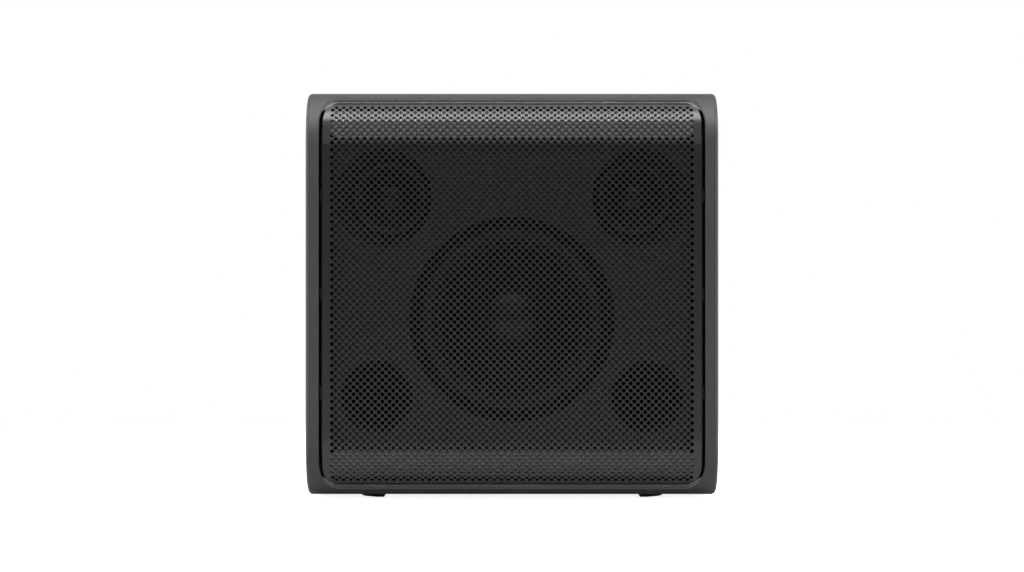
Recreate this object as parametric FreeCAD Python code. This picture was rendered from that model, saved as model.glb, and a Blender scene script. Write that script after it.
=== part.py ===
import FreeCAD, Part
import math
import os

V = FreeCAD.Vector

# A powered loudspeaker: a sleeve-like cabinet with a rolled steel grille, one woofer, two midranges, two
# ports and two light bars. Millimetres. X is the width, the front faces -Y, and Z is up. The origin is the
# middle of the footprint at floor level.

# ---- overall size
WIDTH = 313.0
DEPTH = 282.0
BODY_HEIGHT = 308.5
FOOT_PROUD = 2.5
FOOT_LENGTH = 40.0
FOOT_INSET = 41.0
FOOT_INNER = 98.8
FOOT_OUTER = 116.2

FRONT = -DEPTH / 2
BACK = DEPTH / 2
TOP = FOOT_PROUD + BODY_HEIGHT
MID_Z = FOOT_PROUD + BODY_HEIGHT / 2

# ---- outer shell
FRONT_CORNER = 38.0
REAR_CORNER = 12.0
EDGE_ROUND = 3.2
LIP_BEVEL = 0.9
SIDE_WALL = 5.0
RIM_WIDTH = 9.9
TOP_WALL = 5.25
LEDGE_INSET = 6.1
LEDGE_FRONT = -107.0
LEDGE_BACK = -101.0
REAR_LIP_INSET = 11.0
REAR_LIP_FRONT = 128.0
REAR_LIP_BACK = 132.0
OPENING_CORNER_X = 14.0
OPENING_CORNER_Z = 21.0

OPENING_X = WIDTH / 2 - RIM_WIDTH
OPENING_Z = BODY_HEIGHT / 2 - TOP_WALL
CAVITY_X = WIDTH / 2 - SIDE_WALL

# ---- grille, from the middle outwards: a flat, a slope, a roll and a short straight run
SHEET = 1.0
GRILLE_FRONT = FRONT + 1.0
GRILLE_X = 144.5
GRILLE_Z = 148.6
GRILLE_CORNER_X = 12.0
GRILLE_CORNER_Z = 19.4
CREASE_Z = 113.8
ROLL_START_Z = 129.2
SLOPE_ANGLE = 12.0
ROLL_END_ANGLE = 68.0
ROLL_RADIUS = 23.0
RUN_OUT = 7.5
RETURN_FLANGE = 10.0

# ---- baffle
BAFFLE_FRONT = -127.0
BAFFLE_SKIN = 5.0
BAFFLE_BACK = BAFFLE_FRONT + BAFFLE_SKIN
PLATFORM_X = 136.3
PLATFORM_Z = 138.5
PLATFORM_CORNER = 6.5
PLATFORM_WALL = 2.8
FLANGE_FRONT = -112.0
FLANGE_BACK = -108.0
SEAT_GAP = 0.3

# ---- drivers and ports
WOOFER_Z = 137.5
WOOFER_OPENING = 78.6
MID_Z_UP = 230.1
MID_MOUTH_X = 98.2
MID_MOUTH = 37.3
MID_X = 93.2
MID_THROAT = 31.1
MID_SEAT = -115.0
PORT_X = 103.0
PORT_Z = 78.4
PORT_MOUTH = 28.0
PORT_LENGTH = 110.0

# ---- light bars
BAR_X = 138.4
BAR_INNER_Z = 119.0
BAR_OUTER_Z = 139.0
BAR_CORNER = 6.0
BAR_BEHIND_GRILLE = 2.3
BAR_SKIN = 3.0

# ---- rear panel
COVER_FRONT = 133.0
COVER_BACK = 137.0
WELL_X = 86.0
WELL_Z = 60.0
WELL_MID_Z = MID_Z - 62.0
WELL_WALL = 3.0
PLATE_FRONT = 124.0
PLATE_BACK = 126.0
BOARD_FRONT = 104.0
BOARD_THICK = 1.6
GAIN_KNOB_X = 56.0
TONE_KNOB_X = 22.0
KNOB_Z = MID_Z - 34.0
JACK_X = -12.0
JACK_BORE = 1.8
JACK_DEPTH = 15.0
SWITCH_X = -56.0
SWITCH_Z = MID_Z - 36.0
INLET_X = -52.0
INLET_Z = MID_Z - 88.0
STEM = 3.0
RUNNING_GAP = 0.05

# ---- top controls
PANEL_X = 56.0
PANEL_MID_Y = -30.0
PANEL_Y = 14.0
PANEL_TOP = TOP - 0.6
PANEL_BOTTOM = 303.75
BUTTON_PITCH = 21.0
BUTTON_HALF = 7.0
BUTTON_TOP = TOP - 0.1
BUTTON_NAMES = (
    "button_power",
    "button_pairing",
    "button_volume_down",
    "button_volume_up",
    "button_light",
)

# ---- screws
SHANK = 1.5
HEAD = 2.4
HEAD_HEIGHT = 1.9


# ==== shared shapes

def box(x0, x1, y0, y1, z0, z1):
    return Part.makeBox(x1 - x0, y1 - y0, z1 - z0, V(x0, y0, z0))


def rod(x, z, radius, y0, y1):
    return Part.makeCylinder(radius, y1 - y0, V(x, y0, z), V(0, 1, 0))


def post(x, y, radius, z0, z1):
    return Part.makeCylinder(radius, z1 - z0, V(x, y, z0))


def fuse(shapes):
    whole = shapes[0].multiFuse(shapes[1:]) if len(shapes) > 1 else shapes[0]
    return whole.removeSplitter()


def group(shapes):
    return Part.makeCompound(shapes)


def mirrored(shape):
    return shape.mirror(V(0, 0, 0), V(1, 0, 0))


def rounded_prism(half_x, half_z, corner_x, corner_z, y0, y1, mid_x=0.0, mid_z=MID_Z):
    """A prism along Y on a rectangle whose corners are quarter ellipses."""
    edges = []
    flat_x = half_x - corner_x
    flat_z = half_z - corner_z
    quarters = ((1, 1, 0), (-1, 1, 90), (-1, -1, 180), (1, -1, 270))
    ends = []
    for side_x, side_z, start in quarters:
        centre = V(mid_x + side_x * flat_x, y0, mid_z + side_z * flat_z)
        points = []
        for turn in (start, start + 45, start + 90):
            angle = math.radians(turn)
            points.append(centre + V(corner_x * math.cos(angle), 0, corner_z * math.sin(angle)))
        if abs(corner_x - corner_z) < 1e-6:
            curve = Part.Arc(*points).toShape()
        else:
            curve = quarter_ellipse(centre, corner_x, corner_z, points)
        edges.append(curve)
        ends.append((points[0], points[2]))
    sides = []
    for index, arc in enumerate(edges):
        sides.append(arc)
        sides.append(Part.makeLine(ends[index][1], ends[(index + 1) % 4][0]))
    face = Part.Face(Part.Wire(sides))
    return face.extrude(V(0, y1 - y0, 0))


def quarter_ellipse(centre, corner_x, corner_z, points):
    long_is_z = corner_z > corner_x
    along = V(0, 0, 1) if long_is_z else V(1, 0, 0)
    across = V(1, 0, 0) if long_is_z else V(0, 0, 1)
    major = centre + along * max(corner_x, corner_z)
    minor = centre + across * min(corner_x, corner_z)
    ellipse = Part.Ellipse(major, minor, centre)
    first = ellipse.parameter(points[0])
    last = ellipse.parameter(points[2])
    middle = ellipse.parameter(points[1])
    if not min(first, last) <= middle <= max(first, last):
        if first < last:
            first += 2 * math.pi
        else:
            last += 2 * math.pi
    if first > last:
        edge = Part.ArcOfEllipse(ellipse, last, first).toShape()
        edge.reverse()
        return edge
    return Part.ArcOfEllipse(ellipse, first, last).toShape()


def turned(mid_x, mid_z, outline):
    """Revolves an outline about an axis along Y. Each step is (radius, y), or a pair of them for an arc."""
    def place(point):
        return V(mid_x + point[0], point[1], mid_z)

    start = outline[0]
    here = start
    edges = []
    for step in outline[1:] + [start]:
        if isinstance(step[0], tuple):
            through, end = step
            edges.append(Part.Arc(place(here), place(through), place(end)).toShape())
            here = end
        else:
            if abs(step[0] - here[0]) + abs(step[1] - here[1]) > 1e-6:
                edges.append(Part.makeLine(place(here), place(step)))
            here = step
    face = Part.Face(Part.Wire(edges))
    return face.revolve(V(mid_x, 0, mid_z), V(0, 1, 0), 360)


def ring(mid_x, mid_z, inner, outer, y0, y1):
    return turned(mid_x, mid_z, [(inner, y0), (outer, y0), (outer, y1), (inner, y1)])


def screw(x, z, seat_y, length, facing):
    """A pan-head screw along Y. facing is -1 if its head looks to the front, 1 if it looks to the back."""
    tip = seat_y - facing * length
    head = seat_y + facing * HEAD_HEIGHT
    body = rod(x, z, SHANK, min(seat_y, tip), max(seat_y, tip))
    cap = rod(x, z, HEAD, min(seat_y, head), max(seat_y, head))
    rim = [edge for edge in cap.Edges if abs(edge.CenterOfMass.y - head) < 1e-6]
    cap = cap.makeFillet(HEAD_HEIGHT * 0.4, rim[:1])
    whole = fuse([cap, body])
    slot_depth = HEAD_HEIGHT * 0.6
    slot = 0.35
    reach = HEAD * 0.55
    y0 = min(head, head - facing * slot_depth)
    y1 = max(head, head - facing * slot_depth)
    for half_x, half_z in ((reach, slot), (slot, reach)):
        whole = whole.cut(box(x - half_x, x + half_x, y0, y1, z - half_z, z + half_z))
    return whole


def screw_hole(x, z, seat_y, length, facing, radius=SHANK):
    tip = seat_y - facing * length
    return rod(x, z, radius, min(seat_y, tip), max(seat_y, tip))


def ring_places(mid_x, mid_z, radius, count, start=0.0):
    places = []
    for index in range(count):
        angle = math.radians(start + index * 360 / count)
        places.append((mid_x + radius * math.cos(angle), mid_z + radius * math.sin(angle)))
    return places


# ==== screw places, shared by the screws and by the parts they hold

BAFFLE_SCREW_X = 143.4
BAFFLE_SCREW_Z = 144.3
BAFFLE_SCREWS = [(side * BAFFLE_SCREW_X, MID_Z + z) for side in (-1, 1) for z in (-105, -40, 40, 105)]
BAFFLE_SCREWS += [(x, MID_Z + side * BAFFLE_SCREW_Z) for side in (-1, 1) for x in (-100, -33, 33, 100)]
COVER_SCREWS = [(side * 145.6, MID_Z + z) for side in (-1, 1) for z in (-110, -37, 37, 110)]
COVER_SCREWS += [(x, MID_Z + side * 142.6) for side in (-1, 1) for x in (-85, 0, 85)]
PLATE_SCREWS = [(x, WELL_MID_Z + side * 55.0) for side in (-1, 1) for x in (-79.0, 0.0, 79.0)]
WOOFER_SCREWS = ring_places(0, WOOFER_Z, 80.8, 8, 22.5)
MID_SCREWS = [
    place for side in (-1, 1) for place in ring_places(side * MID_X, MID_Z_UP, 36.6, 4, 45)
]
BAFFLE_SCREW_LENGTH = 10.0
COVER_SCREW_LENGTH = 8.5
PLATE_SCREW_LENGTH = 5.0
WOOFER_SCREW_LENGTH = 7.2
MID_SCREW_LENGTH = 9.0
WOOFER_SCREW_SEAT = -118.0
MID_SCREW_SEAT = -110.8


# ==== cabinet

def side_outline():
    """The cabinet seen from the side: large rounds at the front, small ones at the back."""
    low = FOOT_PROUD
    f = FRONT_CORNER
    r = REAR_CORNER
    corners = (
        (FRONT, TOP, f, 1, -1),
        (BACK, TOP, r, -1, -1),
        (BACK, low, r, -1, 1),
        (FRONT, low, f, 1, 1),
    )
    edges = []
    ends = []
    for y, z, radius, inward_y, inward_z in corners:
        on_z = V(0, y, z + inward_z * radius)
        on_y = V(0, y + inward_y * radius, z)
        bend = radius * (1 - math.sqrt(0.5))
        middle = V(0, y + inward_y * bend, z + inward_z * bend)
        forwards = inward_y * inward_z < 0
        first, last = (on_z, on_y) if forwards else (on_y, on_z)
        edges.append(Part.Arc(first, middle, last).toShape())
        ends.append((first, last))
    sides = []
    for index, arc in enumerate(edges):
        sides.append(arc)
        sides.append(Part.makeLine(ends[index][1], ends[(index + 1) % 4][0]))
    return Part.Face(Part.Wire(sides))


def outer_shell(feet, panel_cut):
    blank = side_outline().extrude(V(WIDTH, 0, 0))
    blank.translate(V(-WIDTH / 2, 0, 0))
    rims = []
    for edge in blank.Edges:
        if abs(abs(edge.CenterOfMass.x) - WIDTH / 2) < 1e-6:
            rims.append(edge)
    shell = blank.makeFillet(EDGE_ROUND, rims)
    front_opening = rounded_prism(
        OPENING_X, OPENING_Z, OPENING_CORNER_X, OPENING_CORNER_Z, FRONT - 5, LEDGE_FRONT
    )
    shell = shell.cut(front_opening)
    shell = bevel_lip(shell)
    throat = rounded_prism(OPENING_X - LEDGE_INSET, OPENING_Z - LEDGE_INSET, 9, 9, LEDGE_FRONT, LEDGE_BACK)
    cavity = rounded_prism(CAVITY_X, OPENING_Z, 10, 10, LEDGE_BACK, REAR_LIP_FRONT)
    rear_throat = rounded_prism(
        CAVITY_X - REAR_LIP_INSET, OPENING_Z - REAR_LIP_INSET, 9, 9, REAR_LIP_FRONT, REAR_LIP_BACK
    )
    rear_recess = rounded_prism(CAVITY_X - 0.5, OPENING_Z - 0.5, 9, 9, REAR_LIP_BACK, BACK + 5)
    for hollow in (throat, cavity, rear_throat, rear_recess):
        shell = shell.cut(hollow)
    for foot in feet:
        shell = shell.cut(foot)
    shell = shell.cut(panel_cut)
    for x, z in BAFFLE_SCREWS:
        shell = shell.cut(screw_hole(x, z, FLANGE_FRONT, BAFFLE_SCREW_LENGTH, -1))
    for x, z in COVER_SCREWS:
        shell = shell.cut(screw_hole(x, z, COVER_BACK, COVER_SCREW_LENGTH, 1))
    return shell


def bevel_lip(shell):
    """Bevels the inner lip of the front opening where it meets the rim and the rounded top and bottom."""
    lip = []
    for edge in shell.Edges:
        middle = edge.valueAt((edge.FirstParameter + edge.LastParameter) / 2)
        inside = abs(middle.x) <= OPENING_X + 1e-4 and abs(middle.z - MID_Z) <= OPENING_Z + 1e-4
        if inside and middle.y < LEDGE_FRONT - 3 and edge.Length > 1.0:
            ahead = max(vertex.Y for vertex in edge.Vertexes)
            if ahead < LEDGE_FRONT - 3:
                lip.append(edge)
    return shell.makeChamfer(LIP_BEVEL, lip)


def rubber_foot(x_sign, y_front):
    """A foot with an upright inner face and an underside that rises towards the outside."""
    seat_top = FOOT_PROUD + 2.0
    profile = (
        (FOOT_INNER, 0),
        (FOOT_INNER + 5.2, 0),
        (FOOT_OUTER - 3.6, 0.7),
        (FOOT_OUTER - 0.8, 1.4),
        (FOOT_OUTER, FOOT_PROUD),
        (FOOT_OUTER, seat_top),
        (FOOT_INNER, seat_top),
    )
    outline = [V(x_sign * x, y_front, z) for x, z in profile]
    face = Part.Face(Part.makePolygon(outline + outline[:1]))
    return face.extrude(V(0, FOOT_LENGTH, 0))


def grille_outline(offset):
    """Half of the grille's section on the YZ plane, moved inwards by offset: crease, slope end and roll."""
    slope = math.radians(SLOPE_ANGLE)
    finish = math.radians(ROLL_END_ANGLE)
    slope_rise = (ROLL_START_Z - CREASE_Z) * math.tan(slope)
    centre_z = ROLL_START_Z - ROLL_RADIUS * math.sin(slope)
    centre_y = GRILLE_FRONT + slope_rise + ROLL_RADIUS * math.cos(slope)
    radius = ROLL_RADIUS - offset

    def on_roll(angle):
        return (centre_y - radius * math.cos(angle), centre_z + radius * math.sin(angle))

    crease = (GRILLE_FRONT + offset, CREASE_Z - offset * math.tan(slope / 2))
    end = on_roll(finish)
    run = (end[0] + RUN_OUT * math.sin(finish), end[1] + RUN_OUT * math.cos(finish))
    return crease, on_roll(slope), on_roll((slope + finish) / 2), end, run


def grille_lens(offset, shift=0.0):
    """The solid behind the grille's surface, as wide as the grille and closed by a flat plane behind."""
    crease, roll_start, roll_middle, roll_end, run = grille_outline(offset)

    def place(point, side):
        return V(-GRILLE_X - 1, point[0] + shift, MID_Z + side * point[1])

    edges = []
    for side in (1, -1):
        corner, start, middle, end, last = (
            place(point, side) for point in (crease, roll_start, roll_middle, roll_end, run)
        )
        slope = Part.makeLine(corner, start)
        roll = Part.Arc(start, middle, end).toShape()
        edges.append([slope, roll, Part.makeLine(end, last)])
    upper, lower = edges
    front = Part.makeLine(place(crease, -1), place(crease, 1))
    back = Part.makeLine(place(run, 1), place(run, -1))
    wire = Part.Wire(Part.__sortEdges__([front] + upper + [back] + lower))
    return Part.Face(wire).extrude(V(2 * GRILLE_X + 2, 0, 0))


def front_grille():
    outside = rounded_prism(GRILLE_X, GRILLE_Z, GRILLE_CORNER_X, GRILLE_CORNER_Z, FRONT, LEDGE_FRONT)
    inside = rounded_prism(
        GRILLE_X - SHEET,
        GRILLE_Z - SHEET,
        GRILLE_CORNER_X - SHEET,
        GRILLE_CORNER_Z - SHEET,
        FRONT,
        LEDGE_FRONT,
    )
    band = grille_lens(0).cut(grille_lens(0, RETURN_FLANGE)).common(outside)
    hollow = grille_lens(SHEET).common(inside)
    return band.cut(hollow)


def grille_clips():
    """Spring clips on the baffle's rim that grip the grille's side flanges."""
    half = 5.0
    spring = 4.0
    front = -133.0
    play = 0.1
    flange_inner = GRILLE_X - SHEET
    clips = []
    for side in (-1, 1):
        for z in (MID_Z - 75, MID_Z, MID_Z + 75):
            clip = box(flange_inner - spring, OPENING_X - 0.4, front, FLANGE_FRONT, z - half, z + half)
            slot = box(flange_inner - play, GRILLE_X + play, front - 1, FLANGE_FRONT - 3, z - 9, z + 9)
            clip = clip.cut(slot)
            clips.append(clip if side > 0 else mirrored(clip))
    return group(clips)


def front_baffle():
    hollow_x = PLATFORM_X - PLATFORM_WALL
    hollow_z = PLATFORM_Z - PLATFORM_WALL
    platform = rounded_prism(
        PLATFORM_X, PLATFORM_Z, PLATFORM_CORNER, PLATFORM_CORNER, BAFFLE_FRONT, FLANGE_BACK
    )
    flange = rounded_prism(
        OPENING_X - SEAT_GAP,
        OPENING_Z - SEAT_GAP,
        OPENING_CORNER_X - SEAT_GAP,
        OPENING_CORNER_Z - SEAT_GAP,
        FLANGE_FRONT,
        FLANGE_BACK,
    )
    hollow = rounded_prism(hollow_x, hollow_z, 4, 4, BAFFLE_BACK, FLANGE_BACK)
    body = fuse([platform, flange]).cut(hollow)
    bosses = [waveguide(side, 3.5, 0.0) for side in (-1, 1)]
    bosses = [boss.common(platform) for boss in bosses]
    seats = [rod(side * MID_X, MID_Z_UP, 38.2, MID_SEAT - 2.5, MID_SEAT) for side in (-1, 1)]
    body = fuse([body] + bosses + seats)
    for side in (-1, 1):
        body = body.cut(waveguide(side, 0.0, 0.5))
        body = body.cut(rod(side * PORT_X, PORT_Z, PORT_MOUTH + 0.1, BAFFLE_FRONT - 1, BAFFLE_BACK + 1))
    body = body.cut(rod(0, WOOFER_Z, WOOFER_OPENING, BAFFLE_FRONT - 1, BAFFLE_BACK + 1))
    for x, z in BAFFLE_SCREWS:
        body = body.cut(screw_hole(x, z, FLANGE_FRONT, BAFFLE_SCREW_LENGTH, -1))
    for x, z in WOOFER_SCREWS:
        body = body.cut(screw_hole(x, z, WOOFER_SCREW_SEAT, WOOFER_SCREW_LENGTH, 1))
    return cut_mid_screws(body)


def waveguide(side, wall, overrun):
    """The off-centre cone between a midrange and its mouth; overrun carries it past both ends."""
    depth = MID_SEAT - BAFFLE_FRONT
    lean = (MID_X - MID_MOUTH_X) / depth
    flare = (MID_THROAT - MID_MOUTH) / depth
    rings = []
    for y in (BAFFLE_FRONT - overrun, MID_SEAT + overrun):
        travel = y - BAFFLE_FRONT
        centre = V(side * (MID_MOUTH_X + lean * travel), y, MID_Z_UP)
        circle = Part.makeCircle(MID_MOUTH + flare * travel + wall, centre, V(0, 1, 0))
        rings.append(Part.Wire(circle))
    return Part.makeLoft(rings, True, True)


def baffle_gasket():
    outer = rounded_prism(OPENING_X - 0.6, OPENING_Z - 0.6, 13, 20, FLANGE_BACK, LEDGE_FRONT)
    inner = rounded_prism(OPENING_X - LEDGE_INSET, OPENING_Z - LEDGE_INSET, 9, 9, FLANGE_BACK, LEDGE_FRONT)
    gasket = outer.cut(inner)
    for x, z in BAFFLE_SCREWS:
        gasket = gasket.cut(screw_hole(x, z, FLANGE_FRONT, BAFFLE_SCREW_LENGTH, -1))
    return gasket


# ==== woofer

CONE_RIM = -120.5
CONE_APEX = -95.5
CONE_INNER = 16.3
CONE_OUTER = 57.5
CONE_FLAT = 2.0
CONE_CURVE = 1.12
CONE_PAPER = 0.7
COIL_RADIUS = 15.9
LANDING_INNER = 55.6
ROLL_OUTER = 72.5
LANDING_OUTER = 77.8
ROLL_HEIGHT = 6.5
ROLL_RUBBER = 0.6
CAP_RADIUS = 24.0
CAP_HEIGHT = 9.0
CAP_PAPER = 0.6
SPIDER_OUTER = 47.0
SPIDER_LANDING = 5.0
SPIDER_SEAT = -84.0
SPIDER_WAVE = 1.4
SPIDER_WAVES = 3
SPIDER_CLOTH = 0.5


def cone_y(radius, inner, outer, rim, apex, power):
    """Where the front of a cone lies at a radius, between its apex at inner and its rim at outer."""
    share = (radius - inner) / (outer - inner)
    return apex + (rim - apex) * share ** power


def cone_shell(mid_x, mid_z, inner, outer, rim, apex, power, paper, flat):
    """A paper cone with a slightly curved side and a flat rim that the surround is glued to."""
    steps = 7
    radii = [inner + (outer - flat - inner) * index / steps for index in range(steps + 1)]
    front = [V(mid_x + r, cone_y(r, inner, outer - flat, rim, apex, power), mid_z) for r in radii]
    back = [point + V(0, paper, 0) for point in front]
    front_curve = Part.BSplineCurve()
    front_curve.interpolate(front)
    back_curve = Part.BSplineCurve()
    back_curve.interpolate(back)
    rim_front = V(mid_x + outer, rim, mid_z)
    rim_back = V(mid_x + outer, rim + paper, mid_z)
    edges = [
        front_curve.toShape(),
        Part.makeLine(front[-1], rim_front),
        Part.makeLine(rim_front, rim_back),
        Part.makeLine(rim_back, back[-1]),
        back_curve.toShape(),
        Part.makeLine(back[0], front[0]),
    ]
    face = Part.Face(Part.Wire(Part.__sortEdges__(edges)))
    return face.revolve(V(mid_x, 0, mid_z), V(0, 1, 0), 360)


def surround(mid_x, mid_z, landing_in, roll_in, roll_out, landing_out, seat_y, height, rubber):
    """A half-roll of rubber between a landing on the cone and a landing on the frame."""
    crest = (roll_in + roll_out) / 2
    front = seat_y - rubber
    return turned(mid_x, mid_z, [
        (landing_in, front),
        (roll_in, front),
        ((crest, front - height), (roll_out, front)),
        (landing_out, front),
        (landing_out, seat_y),
        (roll_out - rubber, seat_y),
        ((crest, front - height + rubber), (roll_in + rubber, seat_y)),
        (landing_in, seat_y),
    ])


def dome(mid_x, mid_z, radius, base_y, height, paper):
    """A dust cap: a thin spherical cap."""
    sphere = (radius ** 2 + height ** 2) / (2 * height)
    centre_y = base_y - height + sphere
    half = math.asin(radius / sphere) / 2
    outside = (sphere * math.sin(half), centre_y - sphere * math.cos(half))
    inner_sphere = sphere - paper
    inner_radius = math.sqrt(inner_sphere ** 2 - (centre_y - base_y) ** 2)
    inner_half = math.asin(inner_radius / inner_sphere) / 2
    inside = (inner_sphere * math.sin(inner_half), centre_y - inner_sphere * math.cos(inner_half))
    return turned(mid_x, mid_z, [
        (radius, base_y),
        (outside, (0.0, base_y - height)),
        (0.0, base_y - height + paper),
        (inside, (inner_radius, base_y)),
    ])


def woofer_basket():
    outline = [
        (84.0, -120.5), (73.0, -120.5), (73.0, -118.5), (70.5, -111.0), (50.5, -84.0), (42.0, -84.0),
        (40.0, -75.0), (20.0, -75.0), (20.0, -73.0), (42.0, -73.0), (44.0, -81.5), (52.5, -81.5),
        (73.5, -110.0), (76.0, -118.0), (84.0, -118.0),
    ]
    basket = turned(0, WOOFER_Z, outline)
    for index in range(6):
        window = box(54.0, 90.0, -107.0, -89.0, WOOFER_Z - 19.0, WOOFER_Z + 19.0)
        window.rotate(V(0, 0, WOOFER_Z), V(0, 1, 0), 30 + 60 * index)
        basket = basket.cut(window)
    for x, z in WOOFER_SCREWS:
        basket = basket.cut(screw_hole(x, z, WOOFER_SCREW_SEAT, WOOFER_SCREW_LENGTH, 1))
    return basket


def woofer_gasket():
    gasket = ring(0, WOOFER_Z, 78.7, 84.0, BAFFLE_BACK, -120.5)
    for x, z in WOOFER_SCREWS:
        gasket = gasket.cut(screw_hole(x, z, WOOFER_SCREW_SEAT, WOOFER_SCREW_LENGTH, 1))
    return gasket


def corrugated_disc(mid_x, mid_z, inner, outer, landing, seat_y, wave, count, cloth):
    """A spider: a disc whose section is a row of arcs between two flat landings."""
    start = inner + landing
    pitch = (outer - landing - start) / (2 * count)
    front = [(inner, seat_y - cloth), (start, seat_y - cloth)]
    back = [(start, seat_y), (inner, seat_y)]
    for index in range(2 * count):
        swing = wave if index % 2 else -wave
        r0 = start + index * pitch
        front.append(((r0 + pitch / 2, seat_y - cloth + swing), (r0 + pitch, seat_y - cloth)))
        back.insert(0, ((r0 + pitch / 2, seat_y + swing), (r0, seat_y)))
    end = start + 2 * count * pitch
    front += [(outer, seat_y - cloth), (outer, seat_y), (end, seat_y)]
    return turned(mid_x, mid_z, front + back[:-2] + [back[-1]])


def woofer_voice_coil():
    return turned(0, WOOFER_Z, [
        (COIL_RADIUS, CONE_APEX + 0.7), (COIL_RADIUS + 0.35, CONE_APEX + 0.7), (COIL_RADIUS + 0.35, -76.0),
        (COIL_RADIUS + 1.2, -76.0), (COIL_RADIUS + 1.2, -61.0), (COIL_RADIUS, -61.0),
    ])


def woofer_pole_plate():
    return turned(0, WOOFER_Z, [
        (0.0, -74.0), (15.3, -74.0), (15.3, -52.0), (46.0, -52.0), (46.0, -47.0), (45.0, -46.0), (0.0, -46.0),
    ])


# ==== midranges

MID_RIM = MID_SEAT
MID_APEX = -105.0
MID_CONE_INNER = 7.9
MID_CONE_OUTER = 24.0
MID_CONE_FLAT = 1.4
MID_CONE_CURVE = 1.1
MID_CONE_PAPER = 0.5
MID_LANDING_INNER = 22.8
MID_ROLL_OUTER = 29.3
MID_LANDING_OUTER = 31.0
MID_ROLL_HEIGHT = 2.4
MID_ROLL_RUBBER = 0.4
MID_CAP_RADIUS = 10.5
MID_CAP_HEIGHT = 3.6
MID_CAP_PAPER = 0.4
MID_SHANK = 1.1
MID_SHANK_SHORTER = 2.0


def mid_frame(side):
    x = side * MID_X
    frame = turned(x, MID_Z_UP, [
        (38.0, -115.0), (30.4, -115.0), (30.4, -112.8), (29.6, -110.0), (21.0, -99.0), (9.5, -99.0),
        (9.5, -97.5), (22.0, -97.5), (31.0, -109.0), (32.2, -112.8), (38.0, -112.8),
    ])
    for index in range(4):
        window = box(23.0, 36.0, -108.5, -101.0, MID_Z_UP - 8.0, MID_Z_UP + 8.0)
        window.rotate(V(0, 0, MID_Z_UP), V(0, 1, 0), 90 * index)
        window.translate(V(x, 0, 0))
        frame = frame.cut(window)
    return cut_mid_screws(frame)


def cut_mid_screws(shape):
    length = MID_SCREW_LENGTH - MID_SHANK_SHORTER
    for x, z in MID_SCREWS:
        shape = shape.cut(screw_hole(x, z, MID_SCREW_SEAT, length, 1, MID_SHANK))
    return shape


def mid_magnet(side):
    """The motor of a midrange: top plate, magnet and cup as one bonded unit with the coil's gap."""
    x = side * MID_X
    outside = [(8.9, -97.5), (20.0, -97.5), (20.0, -94.5), (21.5, -94.5), (21.5, -84.0), (20.0, -84.0)]
    inside = [(20.0, -80.5), (0.0, -80.5), (0.0, -98.0), (6.9, -98.0), (6.9, -84.0), (8.9, -84.0)]
    return turned(x, MID_Z_UP, outside + inside)


def mid_voice_coil(side):
    return turned(side * MID_X, MID_Z_UP, [
        (7.5, MID_APEX + 0.5), (7.8, MID_APEX + 0.5), (7.8, -98.5), (8.3, -98.5), (8.3, -91.0), (7.5, -91.0),
    ])


def mid_chamber(side):
    cup = turned(side * MID_X, MID_Z_UP, [
        (38.0, -112.8), (32.6, -112.8), (32.6, -56.0), (0.0, -56.0), (0.0, -53.5), (32.0, -53.5),
        ((34.2, -54.4), (35.1, -56.6)), (35.1, -110.8), (38.0, -110.8),
    ])
    return cut_mid_screws(cup)


def mid_screw(x, z):
    small_head = 1.35
    head = rod(x, z, small_head, MID_SCREW_SEAT, MID_SCREW_SEAT + 1.3)
    tip = MID_SCREW_SEAT - MID_SCREW_LENGTH + MID_SHANK_SHORTER
    shank = rod(x, z, MID_SHANK, tip, MID_SCREW_SEAT)
    slot = box(x - 1.0, x + 1.0, MID_SCREW_SEAT + 0.7, MID_SCREW_SEAT + 1.4, z - 0.25, z + 0.25)
    return fuse([head, shank]).cut(slot)


def driver_screws():
    woofer = [screw(x, z, WOOFER_SCREW_SEAT, WOOFER_SCREW_LENGTH, 1) for x, z in WOOFER_SCREWS]
    return group(woofer + [mid_screw(x, z) for x, z in MID_SCREWS])


# ==== ports

def port_tube(side):
    tail = BAFFLE_FRONT + PORT_LENGTH
    bore = 23.6
    tube = 26.0
    return turned(side * PORT_X, PORT_Z, [
        (PORT_MOUTH, BAFFLE_FRONT),
        (PORT_MOUTH, BAFFLE_BACK),
        (PORT_MOUTH + 2.2, BAFFLE_BACK),
        (PORT_MOUTH + 2.2, BAFFLE_BACK + 2.5),
        (tube, BAFFLE_BACK + 2.5),
        (tube, tail - 6),
        ((tube + 1.2, tail - 2.2), (tube + 3.5, tail)),
        (tube + 1.8, tail),
        ((bore + 1.0, tail - 3.4), (bore, tail - 9)),
        (bore, BAFFLE_FRONT + 13),
        ((bore + 1.1, BAFFLE_FRONT + 5.2), (PORT_MOUTH - 0.6, BAFFLE_FRONT)),
    ])


# ==== light bars

def bar_prism(side, inset, y0, y1):
    middle = (BAR_INNER_Z + BAR_OUTER_Z) / 2
    half = (BAR_OUTER_Z - BAR_INNER_Z) / 2
    corner = BAR_CORNER - inset
    return rounded_prism(BAR_X - inset, half - inset, corner, corner, y0, y1, 0.0, MID_Z + side * middle)


def light_diffuser(side):
    """A translucent cap that follows the grille's curve and stands on the baffle."""
    wall = 2.5
    skin = bar_prism(side, 0.0, FRONT, BAFFLE_FRONT).common(grille_lens(BAR_BEHIND_GRILLE))
    hollow = bar_prism(side, wall, FRONT, BAFFLE_FRONT).common(grille_lens(BAR_BEHIND_GRILLE + BAR_SKIN))
    return skin.cut(hollow)


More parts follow.
